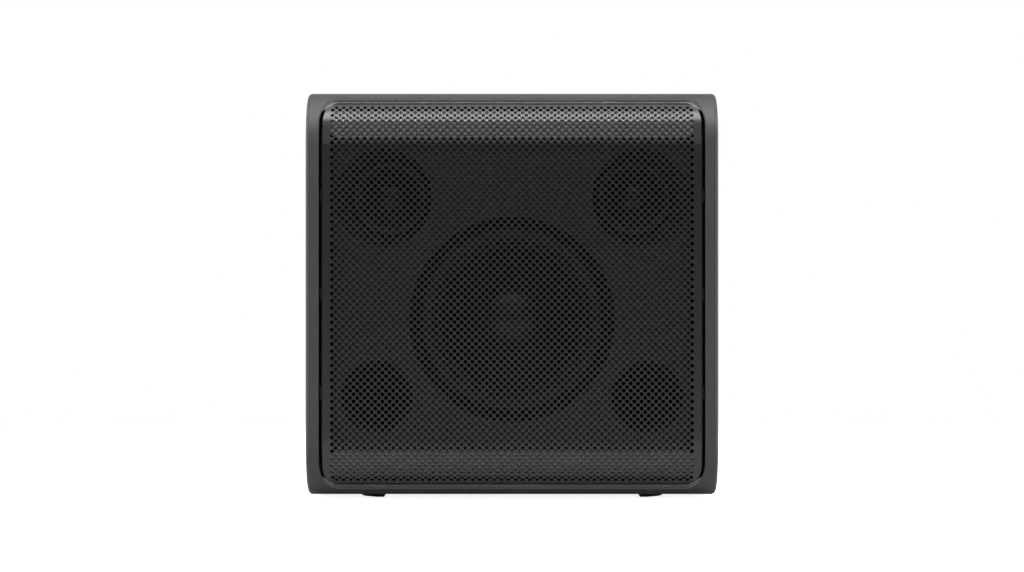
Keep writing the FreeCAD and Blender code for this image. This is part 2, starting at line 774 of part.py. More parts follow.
def led_board(side):
    low = BAR_INNER_Z + 3.0
    high = BAR_OUTER_Z - 5.4
    z0, z1 = sorted((MID_Z + side * low, MID_Z + side * high))
    face = BAFFLE_FRONT - BOARD_THICK
    board = box(-BAR_X + 5, BAR_X - 5, face, BAFFLE_FRONT, z0, z1)
    lamps = []
    count = 24
    pitch = 10.8
    lamp_z = MID_Z + side * (low + 5.0)
    for index in range(count):
        x = (index - (count - 1) / 2) * pitch
        lamps.append(box(x - 1.4, x + 1.4, face - 0.8, face, lamp_z - 1.4, lamp_z + 1.4))
    return fuse([board] + lamps)


# ==== rear panel

GRIP_X = 66.0
GRIP_Z = 19.0
GRIP_MID_Z = MID_Z + 92.0
GRIP_FRONT = 106.0


def rear_cover():
    cover = rounded_prism(CAVITY_X - 0.9, OPENING_Z - 0.9, 8.6, 8.6, COVER_FRONT, COVER_BACK)
    well = rounded_prism(
        WELL_X + WELL_WALL, WELL_Z + WELL_WALL, 9, 9, PLATE_FRONT - WELL_WALL, COVER_FRONT, 0.0, WELL_MID_Z
    )
    grip = rounded_prism(
        GRIP_X + WELL_WALL, GRIP_Z + WELL_WALL, 16, 16, GRIP_FRONT - WELL_WALL, COVER_FRONT, 0.0, GRIP_MID_Z
    )
    cover = fuse([cover, well, grip])
    cover = cover.cut(rounded_prism(WELL_X, WELL_Z, 6, 6, PLATE_FRONT, COVER_BACK + 1, 0.0, WELL_MID_Z))
    cover = cover.cut(
        rounded_prism(WELL_X - 13, WELL_Z - 10, 4, 4, PLATE_FRONT - 9, PLATE_FRONT + 1, 0.0, WELL_MID_Z)
    )
    cover = cover.cut(rounded_prism(GRIP_X, GRIP_Z, 13, 13, GRIP_FRONT, COVER_BACK + 1, 0.0, GRIP_MID_Z))
    for x, z in COVER_SCREWS:
        cover = cover.cut(screw_hole(x, z, COVER_BACK, COVER_SCREW_LENGTH, 1))
    for x, z in PLATE_SCREWS:
        cover = cover.cut(screw_hole(x, z, PLATE_BACK, PLATE_SCREW_LENGTH, 1))
    return cover


def rear_gasket():
    outer = rounded_prism(CAVITY_X - 1.2, OPENING_Z - 1.2, 8.4, 8.4, REAR_LIP_BACK, COVER_FRONT)
    inner = rounded_prism(
        CAVITY_X - REAR_LIP_INSET, OPENING_Z - REAR_LIP_INSET, 9, 9, REAR_LIP_BACK, COVER_FRONT
    )
    gasket = outer.cut(inner)
    for x, z in COVER_SCREWS:
        gasket = gasket.cut(screw_hole(x, z, COVER_BACK, COVER_SCREW_LENGTH, 1))
    return gasket


def amp_plate():
    plate = rounded_prism(WELL_X - 0.3, WELL_Z - 0.3, 5.7, 5.7, PLATE_FRONT, PLATE_BACK, 0.0, WELL_MID_Z)
    for x in (GAIN_KNOB_X, TONE_KNOB_X):
        plate = plate.cut(rod(x, KNOB_Z, 4.6, PLATE_FRONT - 1, PLATE_BACK + 1))
    plate = plate.cut(rod(JACK_X, KNOB_Z, 4.1, PLATE_FRONT - 1, PLATE_BACK + 1))
    plate = plate.cut(
        box(SWITCH_X - 7.6, SWITCH_X + 7.6, PLATE_FRONT, PLATE_BACK, SWITCH_Z - 10.6, SWITCH_Z + 10.6)
    )
    plate = plate.cut(rounded_prism(12.1, 6.1, 4.1, 4.1, PLATE_FRONT, PLATE_BACK, INLET_X, INLET_Z))
    for x, z in PLATE_SCREWS:
        plate = plate.cut(screw_hole(x, z, PLATE_BACK, PLATE_SCREW_LENGTH, 1))
    return plate


def cabinet_screws():
    front = [screw(x, z, FLANGE_FRONT, BAFFLE_SCREW_LENGTH, -1) for x, z in BAFFLE_SCREWS]
    rear = [screw(x, z, COVER_BACK, COVER_SCREW_LENGTH, 1) for x, z in COVER_SCREWS]
    plate = [screw(x, z, PLATE_BACK, PLATE_SCREW_LENGTH, 1) for x, z in PLATE_SCREWS]
    return group(front + rear + plate)


POT_FRONT = BOARD_FRONT + BOARD_THICK
STEM_TIP = 112.0
BUSH_BACK = 127.4


def knob(x):
    """A fluted knob moulded on its stem, with a pointer groove that points up at rest."""
    face = 138.2
    skirt_back = 130.0
    start = BUSH_BACK + 0.6
    body = turned(x, KNOB_Z, [
        (0.0, start), (10.5, start), (10.5, skirt_back), (9.3, skirt_back + 1.2), (8.8, face - 1.0),
        (7.8, face), (0.0, face),
    ])
    flutes = [rod(px, pz, 0.9, skirt_back + 1.6, face + 1) for px, pz in ring_places(x, KNOB_Z, 9.5, 20, 9)]
    for flute in flutes:
        body = body.cut(flute)
    body = body.cut(box(x - 0.6, x + 0.6, face - 0.8, face + 1, KNOB_Z + 2.5, KNOB_Z + 11))
    return fuse([body, rod(x, KNOB_Z, STEM, STEM_TIP, start + 0.5)])


def control_pots():
    pots = []
    for x in (GAIN_KNOB_X, TONE_KNOB_X):
        can = box(x - 8, x + 8, POT_FRONT, PLATE_FRONT - 1.5, KNOB_Z - 8, KNOB_Z + 8)
        bush = rod(x, KNOB_Z, 4.5, PLATE_FRONT - 1.5, BUSH_BACK)
        nut = ring(x, KNOB_Z, 4.5, 6.2, PLATE_BACK, PLATE_BACK + 1.2)
        pot = fuse([can, bush, nut])
        pots.append(pot.cut(rod(x, KNOB_Z, STEM + RUNNING_GAP, STEM_TIP - 0.5, BUSH_BACK + 1)))
    return group(pots)


ROCKER_PIVOT_Y = 123.5
ROCKER_REST = -7.0
ROCKER_PIN = 1.2


def power_switch_body():
    half_x = 9.5
    half_z = 12.5
    face = PLATE_BACK + 1.6
    bezel = box(SWITCH_X - half_x, SWITCH_X + half_x, PLATE_BACK, face, SWITCH_Z - half_z, SWITCH_Z + half_z)
    edges = [edge for edge in bezel.Edges if abs(edge.CenterOfMass.y - face) < 1e-6]
    bezel = bezel.makeFillet(0.8, edges)
    can = box(SWITCH_X - 7.5, SWITCH_X + 7.5, POT_FRONT, PLATE_BACK, SWITCH_Z - 10.5, SWITCH_Z + 10.5)
    body = fuse([bezel, can])
    body = body.cut(box(SWITCH_X - 6, SWITCH_X + 6, 113, PLATE_BACK + 2, SWITCH_Z - 9.2, SWITCH_Z + 9.2))
    pivot = Part.makeCylinder(
        ROCKER_PIN + RUNNING_GAP, 14.2, V(SWITCH_X - 7.1, ROCKER_PIVOT_Y, SWITCH_Z), V(1, 0, 0)
    )
    return body.cut(pivot)


def power_rocker():
    """A rocker with two shallow flats, built level and then tipped to its off position."""
    half = 8.3
    reach = 5.8
    outline = [
        V(-reach, 117.0, -3.0),
        V(-reach, 122.5, -half),
        V(-reach, 129.6, -half),
        V(-reach, 128.0, 0.0),
        V(-reach, 129.6, half),
        V(-reach, 122.5, half),
        V(-reach, 117.0, 3.0),
    ]
    face = Part.Face(Part.makePolygon(outline + outline[:1]))
    rocker = face.extrude(V(2 * reach, 0, 0))
    pin = Part.makeCylinder(ROCKER_PIN, 13.6, V(-6.8, ROCKER_PIVOT_Y, 0), V(1, 0, 0))
    rocker = fuse([rocker, pin])
    rocker.rotate(V(0, ROCKER_PIVOT_Y, 0), V(1, 0, 0), ROCKER_REST)
    rocker.translate(V(SWITCH_X, 0, SWITCH_Z))
    return rocker


def line_in_jack():
    mouth = PLATE_BACK + 1.0
    can = box(JACK_X - 6, JACK_X + 6, POT_FRONT, PLATE_FRONT, KNOB_Z - 6, KNOB_Z + 6)
    barrel = rod(JACK_X, KNOB_Z, 4.0, PLATE_FRONT, mouth)
    nut = ring(JACK_X, KNOB_Z, 4.0, 5.6, PLATE_BACK, PLATE_BACK + 0.8)
    jack = fuse([can, barrel, nut])
    return jack.cut(rod(JACK_X, KNOB_Z, JACK_BORE, mouth - JACK_DEPTH, mouth + 1))


def mains_inlet():
    """A two-pin appliance inlet: a rounded socket with a recess and two blade-like round pins."""
    socket = rounded_prism(12.0, 6.0, 4.0, 4.0, POT_FRONT, PLATE_BACK + 1.0, INLET_X, INLET_Z)
    bezel = rounded_prism(14.0, 8.0, 5.0, 5.0, PLATE_BACK, PLATE_BACK + 1.0, INLET_X, INLET_Z)
    inlet = fuse([socket, bezel])
    inlet = inlet.cut(rounded_prism(8.2, 4.2, 4.1, 4.1, 110.0, PLATE_BACK + 2, INLET_X, INLET_Z))
    pins = [rod(INLET_X + side * 4.3, INLET_Z, 1.15, 109.5, 121.0) for side in (-1, 1)]
    return fuse([inlet] + pins)


# ==== electronics

def main_board():
    back = BOARD_FRONT + BOARD_THICK
    board = box(-70, 70, BOARD_FRONT, back, WELL_MID_Z + 3, WELL_MID_Z + 49)
    parts = [board]
    for x in (-58, -44, 44, 58):
        parts.append(rod(x, WELL_MID_Z + 14, 5.0, BOARD_FRONT - 16, BOARD_FRONT))
    for x in (-2, 8):
        parts.append(box(x - 3.5, x + 3.5, BOARD_FRONT - 1.5, BOARD_FRONT, WELL_MID_Z + 6, WELL_MID_Z + 13))
    for x in (36, 60):
        parts.append(box(x - 6, x + 6, BOARD_FRONT - 9, BOARD_FRONT, WELL_MID_Z + 40, WELL_MID_Z + 46))
    return fuse(parts)


def heat_sink():
    low = WELL_MID_Z + 18
    high = WELL_MID_Z + 38
    base = box(-32, 32, BOARD_FRONT - 4, BOARD_FRONT, low, high)
    fins = []
    count = 11
    for index in range(count):
        x = -31 + 62 * index / (count - 1)
        fins.append(box(x - 0.9, x + 0.9, BOARD_FRONT - 24, BOARD_FRONT - 4, low, high))
    return fuse([base] + fins)


def power_board():
    back = BOARD_FRONT + BOARD_THICK
    board = box(-74, 74, BOARD_FRONT, back, WELL_MID_Z - 49, WELL_MID_Z - 2)
    parts = [board]
    for x in (20, 38):
        parts.append(rod(x, WELL_MID_Z - 30, 8.0, BOARD_FRONT - 30, BOARD_FRONT))
    parts.append(box(52, 70, BOARD_FRONT - 12, BOARD_FRONT, WELL_MID_Z - 44, WELL_MID_Z - 20))
    return fuse(parts)


def transformer():
    x, z = -22.0, WELL_MID_Z - 26.0
    core = box(x - 21, x + 21, BOARD_FRONT - 27, BOARD_FRONT - 5, z - 17, z + 17)
    for side in (-1, 1):
        window = box(x + side * 12 - 3.5, x + side * 12 + 3.5, BOARD_FRONT - 28, BOARD_FRONT, z - 10, z + 10)
        core = core.cut(window)
    coil = box(x - 15, x + 15, BOARD_FRONT - 33, BOARD_FRONT, z - 9.5, z + 9.5)
    centre_leg = box(x - 8.5, x + 8.5, BOARD_FRONT - 27, BOARD_FRONT - 5, z - 10, z + 10)
    coil = coil.cut(centre_leg)
    return fuse([core, coil])


def cable(points, radius):
    """A round lead through the points; its first and last stretches are straight, so its ends sit flat."""
    route = Part.BSplineCurve()
    first, second = V(*points[0]), V(*points[1])
    last, before = V(*points[-1]), V(*points[-2])
    route.interpolate([V(*point) for point in points[1:-1]], InitialTangent=(second - first).normalize(),
                      FinalTangent=(last - before).normalize())
    edges = [Part.makeLine(first, second), route.toShape(), Part.makeLine(before, last)]
    section = Part.Wire(Part.makeCircle(radius, first, second - first))
    return Part.Wire(edges).makePipeShell([section], True, False)


def wiring_harness():
    """Four cable runs: to the woofer, to each midrange and to the top controls."""
    lead = 1.6
    plug = BOARD_FRONT - 9.0
    z_low = WELL_MID_Z + 43
    side_z = MID_Z_UP - 12
    chamber_back = -53.5
    socket_z = 294.4
    runs = [
        cable([(39, plug, z_low), (39, plug - 4, z_low), (50, 66, z_low + 12), (64, 0, 150), (66, -60, 146),
               (66, -90, 146), (66, -97.5, 146)], lead),
        cable([(62, plug, z_low), (62, plug - 4, z_low), (72, 66, 150), (92, 10, 205),
               (MID_X, chamber_back + 8, side_z), (MID_X, chamber_back, side_z)], lead),
        cable([(57, plug, z_low), (57, plug - 4, z_low), (0, 56, 190), (-80, 10, 215),
               (-MID_X, chamber_back + 8, side_z), (-MID_X, chamber_back, side_z)], lead),
        cable([(33, plug, z_low), (33, plug - 4, z_low), (20, 56, 200), (10, 0, 262),
               (0, PANEL_MID_Y, socket_z - 5), (0, PANEL_MID_Y, socket_z)], 1.2),
    ]
    return group(runs)


# ==== top controls

BOARD_TOP = 297.6
TACT_TOP = 300.6


def panel_block(grow, z0, z1):
    half_x = PANEL_X + grow
    half_y = PANEL_Y + grow
    return box(-half_x, half_x, PANEL_MID_Y - half_y, PANEL_MID_Y + half_y, z0, z1)


def upright_rounded(shape, radius):
    """Rounds the edges of a block that run along Z."""
    edges = []
    for edge in shape.Edges:
        extent = edge.BoundBox
        if extent.ZLength > extent.XLength + extent.YLength:
            edges.append(edge)
    return shape.makeFillet(radius, edges)


def control_panel():
    body = upright_rounded(panel_block(-0.2, PANEL_BOTTOM, PANEL_TOP), 7.8)
    flange = upright_rounded(panel_block(3.0, PANEL_BOTTOM, OPENING_Z + MID_Z), 9.0)
    panel = fuse([body, flange])
    posts = [
        post(x, PANEL_MID_Y + y, 2.2, BOARD_TOP, PANEL_BOTTOM) for x in (-54, 54) for y in (-11, 11)
    ]
    panel = fuse([panel] + posts)
    for x in button_places():
        panel = panel.cut(button_block(x, BUTTON_HALF + 0.2, PANEL_BOTTOM - 1, PANEL_TOP + 1, 2.2))
    return panel


def button_places():
    return [(index - 2) * BUTTON_PITCH for index in range(len(BUTTON_NAMES))]


def button_block(x, half, z0, z1, corner):
    block = box(x - half, x + half, PANEL_MID_Y - half, PANEL_MID_Y + half, z0, z1)
    return upright_rounded(block, corner)


def button(x, kind):
    """A button cap on a retaining flange and a stem, with a raised generic mark for its use."""
    cap_top = BUTTON_TOP - 0.4
    cap = button_block(x, BUTTON_HALF, PANEL_BOTTOM - 0.06, cap_top, 2.0)
    top_edges = [edge for edge in cap.Edges if abs(edge.BoundBox.ZMin - cap_top) < 1e-6]
    cap = cap.makeFillet(0.5, top_edges)
    flange = button_block(x, BUTTON_HALF + 1.4, 302.3, PANEL_BOTTOM - 0.06, 2.0)
    stem = post(x, PANEL_MID_Y, 1.5, TACT_TOP + 0.85, 302.3)
    return fuse([cap, flange, stem] + button_mark(x, kind, cap_top))


def button_mark(x, kind, cap_top):
    """Minus, plus, a broken ring with a stroke, a ringed dot, or a dot with rays."""
    bar = 0.7
    reach = 3.0
    root = cap_top - 0.2
    y = PANEL_MID_Y
    across = box(x - reach, x + reach, y - bar, y + bar, root, BUTTON_TOP)
    upright = box(x - bar, x + bar, y - reach, y + reach, root, BUTTON_TOP)
    ring_mark = post(x, y, reach, root, BUTTON_TOP).cut(post(x, y, reach - 1.2, root - 1, TOP + 1))
    if kind == "button_volume_down":
        return [across]
    if kind == "button_volume_up":
        return [across, upright]
    if kind == "button_power":
        broken = ring_mark.cut(box(x - 1.6, x + 1.6, y, y + reach + 1, root - 1, TOP + 1))
        stroke = box(x - 0.6, x + 0.6, y + 0.4, y + reach + 0.6, root, BUTTON_TOP)
        return [broken, stroke]
    if kind == "button_pairing":
        return [ring_mark, post(x, y, 0.9, root, BUTTON_TOP)]
    rays = [post(px, py, 0.55, root, BUTTON_TOP) for px, py in ring_places(x, y, 3.1, 8)]
    return [post(x, y, 1.5, root, BUTTON_TOP)] + rays


def button_board():
    board = box(-PANEL_X + 0.5, PANEL_X - 0.5, PANEL_MID_Y - 13, PANEL_MID_Y + 13, BOARD_TOP - 1.6, BOARD_TOP)
    switches = [
        box(x - 3, x + 3, PANEL_MID_Y - 3, PANEL_MID_Y + 3, BOARD_TOP, TACT_TOP) for x in button_places()
    ]
    socket = box(-5, 5, PANEL_MID_Y - 3, PANEL_MID_Y + 3, 294.4, BOARD_TOP - 1.6)
    return fuse([board] + switches + [socket])


# ==== the whole object

def driver(nodes, prefix, x, z, cone, edge, cap):
    """Adds the cone, surround and dust cap of one driver to the nodes."""
    inner, outer, rim, apex, curve, paper, flat = cone
    landing_in, roll_out, landing_out, height, rubber = edge
    cap_radius, cap_height, cap_paper = cap
    cap_base = cone_y(cap_radius, inner, outer - flat, rim, apex, curve)
    roll = surround(x, z, landing_in, outer, roll_out, landing_out, rim, height, rubber)
    nodes[f"{prefix}_cone"] = cone_shell(x, z, inner, outer, rim, apex, curve, paper, flat)
    nodes[f"{prefix}_surround"] = roll
    nodes[f"{prefix}_dust_cap"] = dome(x, z, cap_radius, cap_base, cap_height, cap_paper)


WOOFER_CONE = (CONE_INNER, CONE_OUTER, CONE_RIM, CONE_APEX, CONE_CURVE, CONE_PAPER, CONE_FLAT)
WOOFER_EDGE = (LANDING_INNER, ROLL_OUTER, LANDING_OUTER, ROLL_HEIGHT, ROLL_RUBBER)
WOOFER_CAP = (CAP_RADIUS, CAP_HEIGHT, CAP_PAPER)
MID_CONE = (
    MID_CONE_INNER, MID_CONE_OUTER, MID_RIM, MID_APEX, MID_CONE_CURVE, MID_CONE_PAPER, MID_CONE_FLAT
)
MID_EDGE = (MID_LANDING_INNER, MID_ROLL_OUTER, MID_LANDING_OUTER, MID_ROLL_HEIGHT, MID_ROLL_RUBBER)
MID_CAP = (MID_CAP_RADIUS, MID_CAP_HEIGHT, MID_CAP_PAPER)


def build():
    front_foot = FRONT + FOOT_INSET
    rear_foot = BACK - FOOT_INSET - FOOT_LENGTH
    feet = [rubber_foot(side, y) for side in (-1, 1) for y in (front_foot, rear_foot)]
    panel_cut = upright_rounded(panel_block(0.0, PANEL_BOTTOM, TOP + 5), 8.0)
    nodes = {
        "outer_shell": outer_shell(feet, panel_cut),
        "front_grille": front_grille(),
        "grille_clips": grille_clips(),
        "front_baffle": front_baffle(),
        "baffle_gasket": baffle_gasket(),
        "rubber_feet": group(feet),
        "woofer_basket": woofer_basket(),
        "woofer_gasket": woofer_gasket(),
        "woofer_spider": corrugated_disc(
            0, WOOFER_Z, CONE_INNER, SPIDER_OUTER, SPIDER_LANDING, SPIDER_SEAT, SPIDER_WAVE, SPIDER_WAVES,
            SPIDER_CLOTH
        ),
        "woofer_voice_coil": woofer_voice_coil(),
        "woofer_top_plate": ring(0, WOOFER_Z, 17.9, 46.0, -73.0, -67.0),
        "woofer_magnet": ring(0, WOOFER_Z, 24.0, 50.0, -67.0, -52.0),
        "woofer_pole_plate": woofer_pole_plate(),
        "driver_screws": driver_screws(),
        "upper_light_diffuser": light_diffuser(1),
        "lower_light_diffuser": light_diffuser(-1),
        "upper_led_board": led_board(1),
        "lower_led_board": led_board(-1),
        "rear_cover": rear_cover(),
        "rear_gasket": rear_gasket(),
        "amp_plate": amp_plate(),
        "cabinet_screws": cabinet_screws(),
        "gain_knob": knob(GAIN_KNOB_X),
        "tone_knob": knob(TONE_KNOB_X),
        "control_pots": control_pots(),
        "power_switch_body": power_switch_body(),
        "power_rocker": power_rocker(),
        "line_in_jack": line_in_jack(),
        "mains_inlet": mains_inlet(),
        "main_board": main_board(),
        "heat_sink": heat_sink(),
        "power_board": power_board(),
        "transformer": transformer(),
        "wiring_harness": wiring_harness(),
        "control_panel": control_panel(),
        "button_board": button_board(),
    }
    driver(nodes, "woofer", 0, WOOFER_Z, WOOFER_CONE, WOOFER_EDGE, WOOFER_CAP)
    for name, side in (("left", -1), ("right", 1)):
        driver(nodes, f"mid_{name}", side * MID_X, MID_Z_UP, MID_CONE, MID_EDGE, MID_CAP)
        nodes[f"mid_{name}_frame"] = mid_frame(side)
        nodes[f"mid_{name}_voice_coil"] = mid_voice_coil(side)
        nodes[f"mid_{name}_magnet"] = mid_magnet(side)
        nodes[f"mid_{name}_chamber"] = mid_chamber(side)
        nodes[f"port_tube_{name}"] = port_tube(side)
    for x, name in zip(button_places(), BUTTON_NAMES):
        nodes[name] = button(x, name)
    return nodes


os.makedirs("parts", exist_ok=True)
for node_name, shape in build().items():
    shape.exportStep(f"parts/{node_name}.step")
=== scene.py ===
import math

import bpy
import numpy as np
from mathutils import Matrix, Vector
from mathutils.geometry import delaunay_2d_cdt


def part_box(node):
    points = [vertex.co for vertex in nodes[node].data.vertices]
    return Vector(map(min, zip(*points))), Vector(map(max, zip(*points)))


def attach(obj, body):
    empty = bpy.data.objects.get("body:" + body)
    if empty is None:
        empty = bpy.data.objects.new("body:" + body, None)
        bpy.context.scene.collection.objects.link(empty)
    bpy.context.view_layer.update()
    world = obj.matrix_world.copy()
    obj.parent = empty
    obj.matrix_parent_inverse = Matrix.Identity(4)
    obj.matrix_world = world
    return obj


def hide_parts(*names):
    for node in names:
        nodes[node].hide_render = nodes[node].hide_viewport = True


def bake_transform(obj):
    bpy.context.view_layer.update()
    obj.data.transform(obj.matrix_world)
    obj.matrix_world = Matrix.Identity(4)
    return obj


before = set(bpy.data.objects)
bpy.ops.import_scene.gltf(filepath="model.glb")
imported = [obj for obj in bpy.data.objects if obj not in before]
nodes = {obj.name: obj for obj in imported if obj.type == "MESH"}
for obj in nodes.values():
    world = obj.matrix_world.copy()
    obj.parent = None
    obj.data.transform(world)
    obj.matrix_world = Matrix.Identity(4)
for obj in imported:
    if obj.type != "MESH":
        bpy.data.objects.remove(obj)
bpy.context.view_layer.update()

# A powered loudspeaker, in metres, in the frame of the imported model: X is the width, the front faces -Y and
# Z is up. The moving parts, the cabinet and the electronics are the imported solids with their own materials.
# The perforated grille, the lip of the front opening with its seal, the printing on the rear plate and
# everything soft are meshes built here.

MM = 0.001
shell_low, shell_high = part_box("outer_shell")
MIDDLE_Z = (shell_low.z + shell_high.z) / 2


# ==== mesh helpers

def new_piece(name, vertices, faces, smooth=True):
    mesh = bpy.data.meshes.new(name)
    mesh.from_pydata([tuple(v) for v in vertices], [], [tuple(f) for f in faces])
    mesh.update()
    mesh.polygons.foreach_set("use_smooth", [smooth] * len(mesh.polygons))
    piece = bpy.data.objects.new(name, mesh)
    bpy.context.scene.collection.objects.link(piece)
    return piece


def arc_points(centre, radius, start, end, count):
    """Points on an arc in a (radius, y) section; angles in degrees, 0 along the radius and 90 along +Y."""
    points = []
    for index in range(count + 1):
        angle = math.radians(start + (end - start) * index / count)
        points.append((centre[0] + radius * math.cos(angle), centre[1] + radius * math.sin(angle)))
    return points


def lathe(name, section, mid_x, mid_z, segments, sharp=35.0):
    """Turns a closed section of (radius, y) points, in millimetres, about an axis along Y."""
    count = len(section)
    vertices = []
    for r, y in section:
        for index in range(segments):
            turn = 2 * math.pi * index / segments
            vertices.append((mid_x + r * MM * math.cos(turn), y * MM, mid_z + r * MM * math.sin(turn)))
    area = 0.0
    for (r0, y0), (r1, y1) in zip(section, section[1:] + section[:1]):
        area += r0 * y1 - r1 * y0
    faces = []
    for k in range(count):
        here, after = k * segments, ((k + 1) % count) * segments
        for index in range(segments):
            side = (index + 1) % segments
            face = (here + index, here + side, after + side, after + index)
            faces.append(face if area < 0 else face[::-1])
    piece = new_piece(name, vertices, faces)
    piece.data.set_sharp_from_angle(angle=math.radians(sharp))
    return piece


# ==== the perforated grille

GRILLE_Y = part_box("front_grille")[0].y / MM
GRILLE_HALF_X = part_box("front_grille")[1].x / MM
SHEET = 1.0
CREASE = 113.8
SLOPE = math.radians(12.0)
SLOPE_END = 129.2
ROLL_RADIUS = 23.0
ROLL_END = math.radians(68.0)
RUN_OUT = 7.5
CORNER_X = 12.0
CORNER_Z = 19.4
CORNER_TOP = 148.6
PITCH_X = 2.727
PITCH_S = 2.721
LATTICE_UP = 0.45
COLUMNS = 50
ROWS = 53
HOLE_RADIUS = 1.55
HOLE_STEPS = 3
EDGE_ROUND = 1.2
EDGE_STEPS = 4
RIM_LEAN = 0.17
SIDE_RETURN = 8.0
END_RETURN = 0.4
RETURN_FADE = 30.0
CREASE_BLEND = 2.4
SIDE_STEPS = 122
END_STEPS = 100

SLOPE_LENGTH = (SLOPE_END - CREASE) / math.cos(SLOPE)
ROLL_LENGTH = ROLL_RADIUS * (ROLL_END - SLOPE)
ROLL_START = CREASE + SLOPE_LENGTH
ROLL_STOP = ROLL_START + ROLL_LENGTH
HALF_LENGTH = ROLL_STOP + RUN_OUT


def grille_section(s):
    """Depth behind the flat, height from the middle and tilt of the sheet at arc length s from its middle."""
    side = np.sign(s)
    s = np.abs(s)
    centre_z = SLOPE_END - ROLL_RADIUS * math.sin(SLOPE)
    centre_d = (SLOPE_END - CREASE) * math.tan(SLOPE) + ROLL_RADIUS * math.cos(SLOPE)
    angle = SLOPE + np.clip((s - ROLL_START) / ROLL_RADIUS, 0, ROLL_END - SLOPE)
    over = np.clip(s - ROLL_STOP, 0, None)
    roll_d = centre_d - ROLL_RADIUS * np.cos(angle) + over * math.sin(ROLL_END)
    roll_z = centre_z + ROLL_RADIUS * np.sin(angle) + over * math.cos(ROLL_END)
    along = s - CREASE
    slope_d, slope_z = along * math.sin(SLOPE), CREASE + along * math.cos(SLOPE)
    depth = np.where(s <= CREASE, 0, np.where(s <= ROLL_START, slope_d, roll_d))
    height = np.where(s <= CREASE, s, np.where(s <= ROLL_START, slope_z, roll_z))
    bend = np.clip((s - CREASE) / CREASE_BLEND + 0.5, 0, 1) * SLOPE
    tilt = np.where(s <= ROLL_START, bend, angle)
    return depth, side * height, side * tilt


def grille_place(x, s, inset):
    """Points of the sheet, in metres, and its outward normals; inset goes inwards from the front surface."""
    depth, height, tilt = grille_section(s)
    normal = np.stack([np.zeros_like(x), -np.cos(tilt), np.sin(tilt)], -1)
    y = GRILLE_Y + depth + inset * np.cos(tilt)
    z = height - inset * np.sin(tilt)
    place = np.stack([x * MM, y * MM, MIDDLE_Z + z * MM], -1)
    return place, normal


def half_width(s):
    """Half the sheet's width at arc length s: constant, then a quarter ellipse at each corner."""
    height = abs(float(grille_section(np.array(float(s)))[1]))
    rise = (height - (CORNER_TOP - CORNER_Z)) / CORNER_Z
    if rise <= 0:
        return GRILLE_HALF_X
    return GRILLE_HALF_X - CORNER_X + CORNER_X * math.sqrt(max(0.0, 1 - rise * rise))


def grille_outline():
    """The sheet's outline in (x, s), anticlockwise seen from the front, with its outward directions."""
    side = [HALF_LENGTH * (2 * k / SIDE_STEPS - 1) for k in range(SIDE_STEPS + 1)]
    right = [(half_width(s), s) for s in side]
    top_x = half_width(HALF_LENGTH)
    top = [(top_x * (1 - 2 * k / END_STEPS), HALF_LENGTH) for k in range(1, END_STEPS)]
    left = [(-x, s) for x, s in right[::-1]]
    bottom = [(-x, -s) for x, s in top]
    loop = np.array(right + top + left + bottom)
    tangent = np.roll(loop, -1, 0) - np.roll(loop, 1, 0)
    outward = np.stack([tangent[:, 1], -tangent[:, 0]], -1)
    outward /= np.linalg.norm(outward, axis=1)[:, None]
    return loop, outward


def lattice_faces():
    """The perforated field: shared diamond corners and, inside each diamond, a round hole's rim."""
    corner_at = {}
    points = []
    leans = {}
    quads = []
    triangles = []

    def corner(i, j):
        if (i, j) not in corner_at:
            corner_at[i, j] = len(points)
            points.append((i * PITCH_X, LATTICE_UP + j * PITCH_S))
        return corner_at[i, j]

    rim_turns = [2 * math.pi * k / (4 * HOLE_STEPS) for k in range(4 * HOLE_STEPS)]
    rim_offsets = [(HOLE_RADIUS * math.cos(t), HOLE_RADIUS * math.sin(t)) for t in rim_turns]
    for j in range(-ROWS, ROWS + 1):
        for i in range(-COLUMNS, COLUMNS + 1):
            if (i + j) % 2:
                continue
            x, s = i * PITCH_X, LATTICE_UP + j * PITCH_S
            around = [corner(i + 1, j), corner(i, j + 1), corner(i - 1, j), corner(i, j - 1)]
            first = len(points)
            for dx, ds in rim_offsets:
                leans[len(points)] = (-dx / HOLE_RADIUS, -ds / HOLE_RADIUS)
                points.append((x + dx, s + ds))
            for k in range(4):
                a, b = around[k], around[(k + 1) % 4]
                rim = [first + (k * HOLE_STEPS + m) % (4 * HOLE_STEPS) for m in range(HOLE_STEPS + 1)]
                triangles.append((a, rim[1], rim[0]))
                quads.append((a, b, rim[2], rim[1]))
                triangles.append((b, rim[3], rim[2]))
    return points, quads, triangles, corner_at, leans


def in_lattice(x, s):
    """True where (x, s) lies in one of the field's diamonds."""
    u, v = x / PITCH_X, (s - LATTICE_UP) / PITCH_S
    for i in (math.floor(u), math.floor(u) + 1):
        for j in (math.floor(v), math.floor(v) + 1):
            held = abs(i) <= COLUMNS and abs(j) <= ROWS and (i + j) % 2 == 0
            if held and abs(u - i) + abs(v - j) < 1 - 1e-9:
                return True
    return False


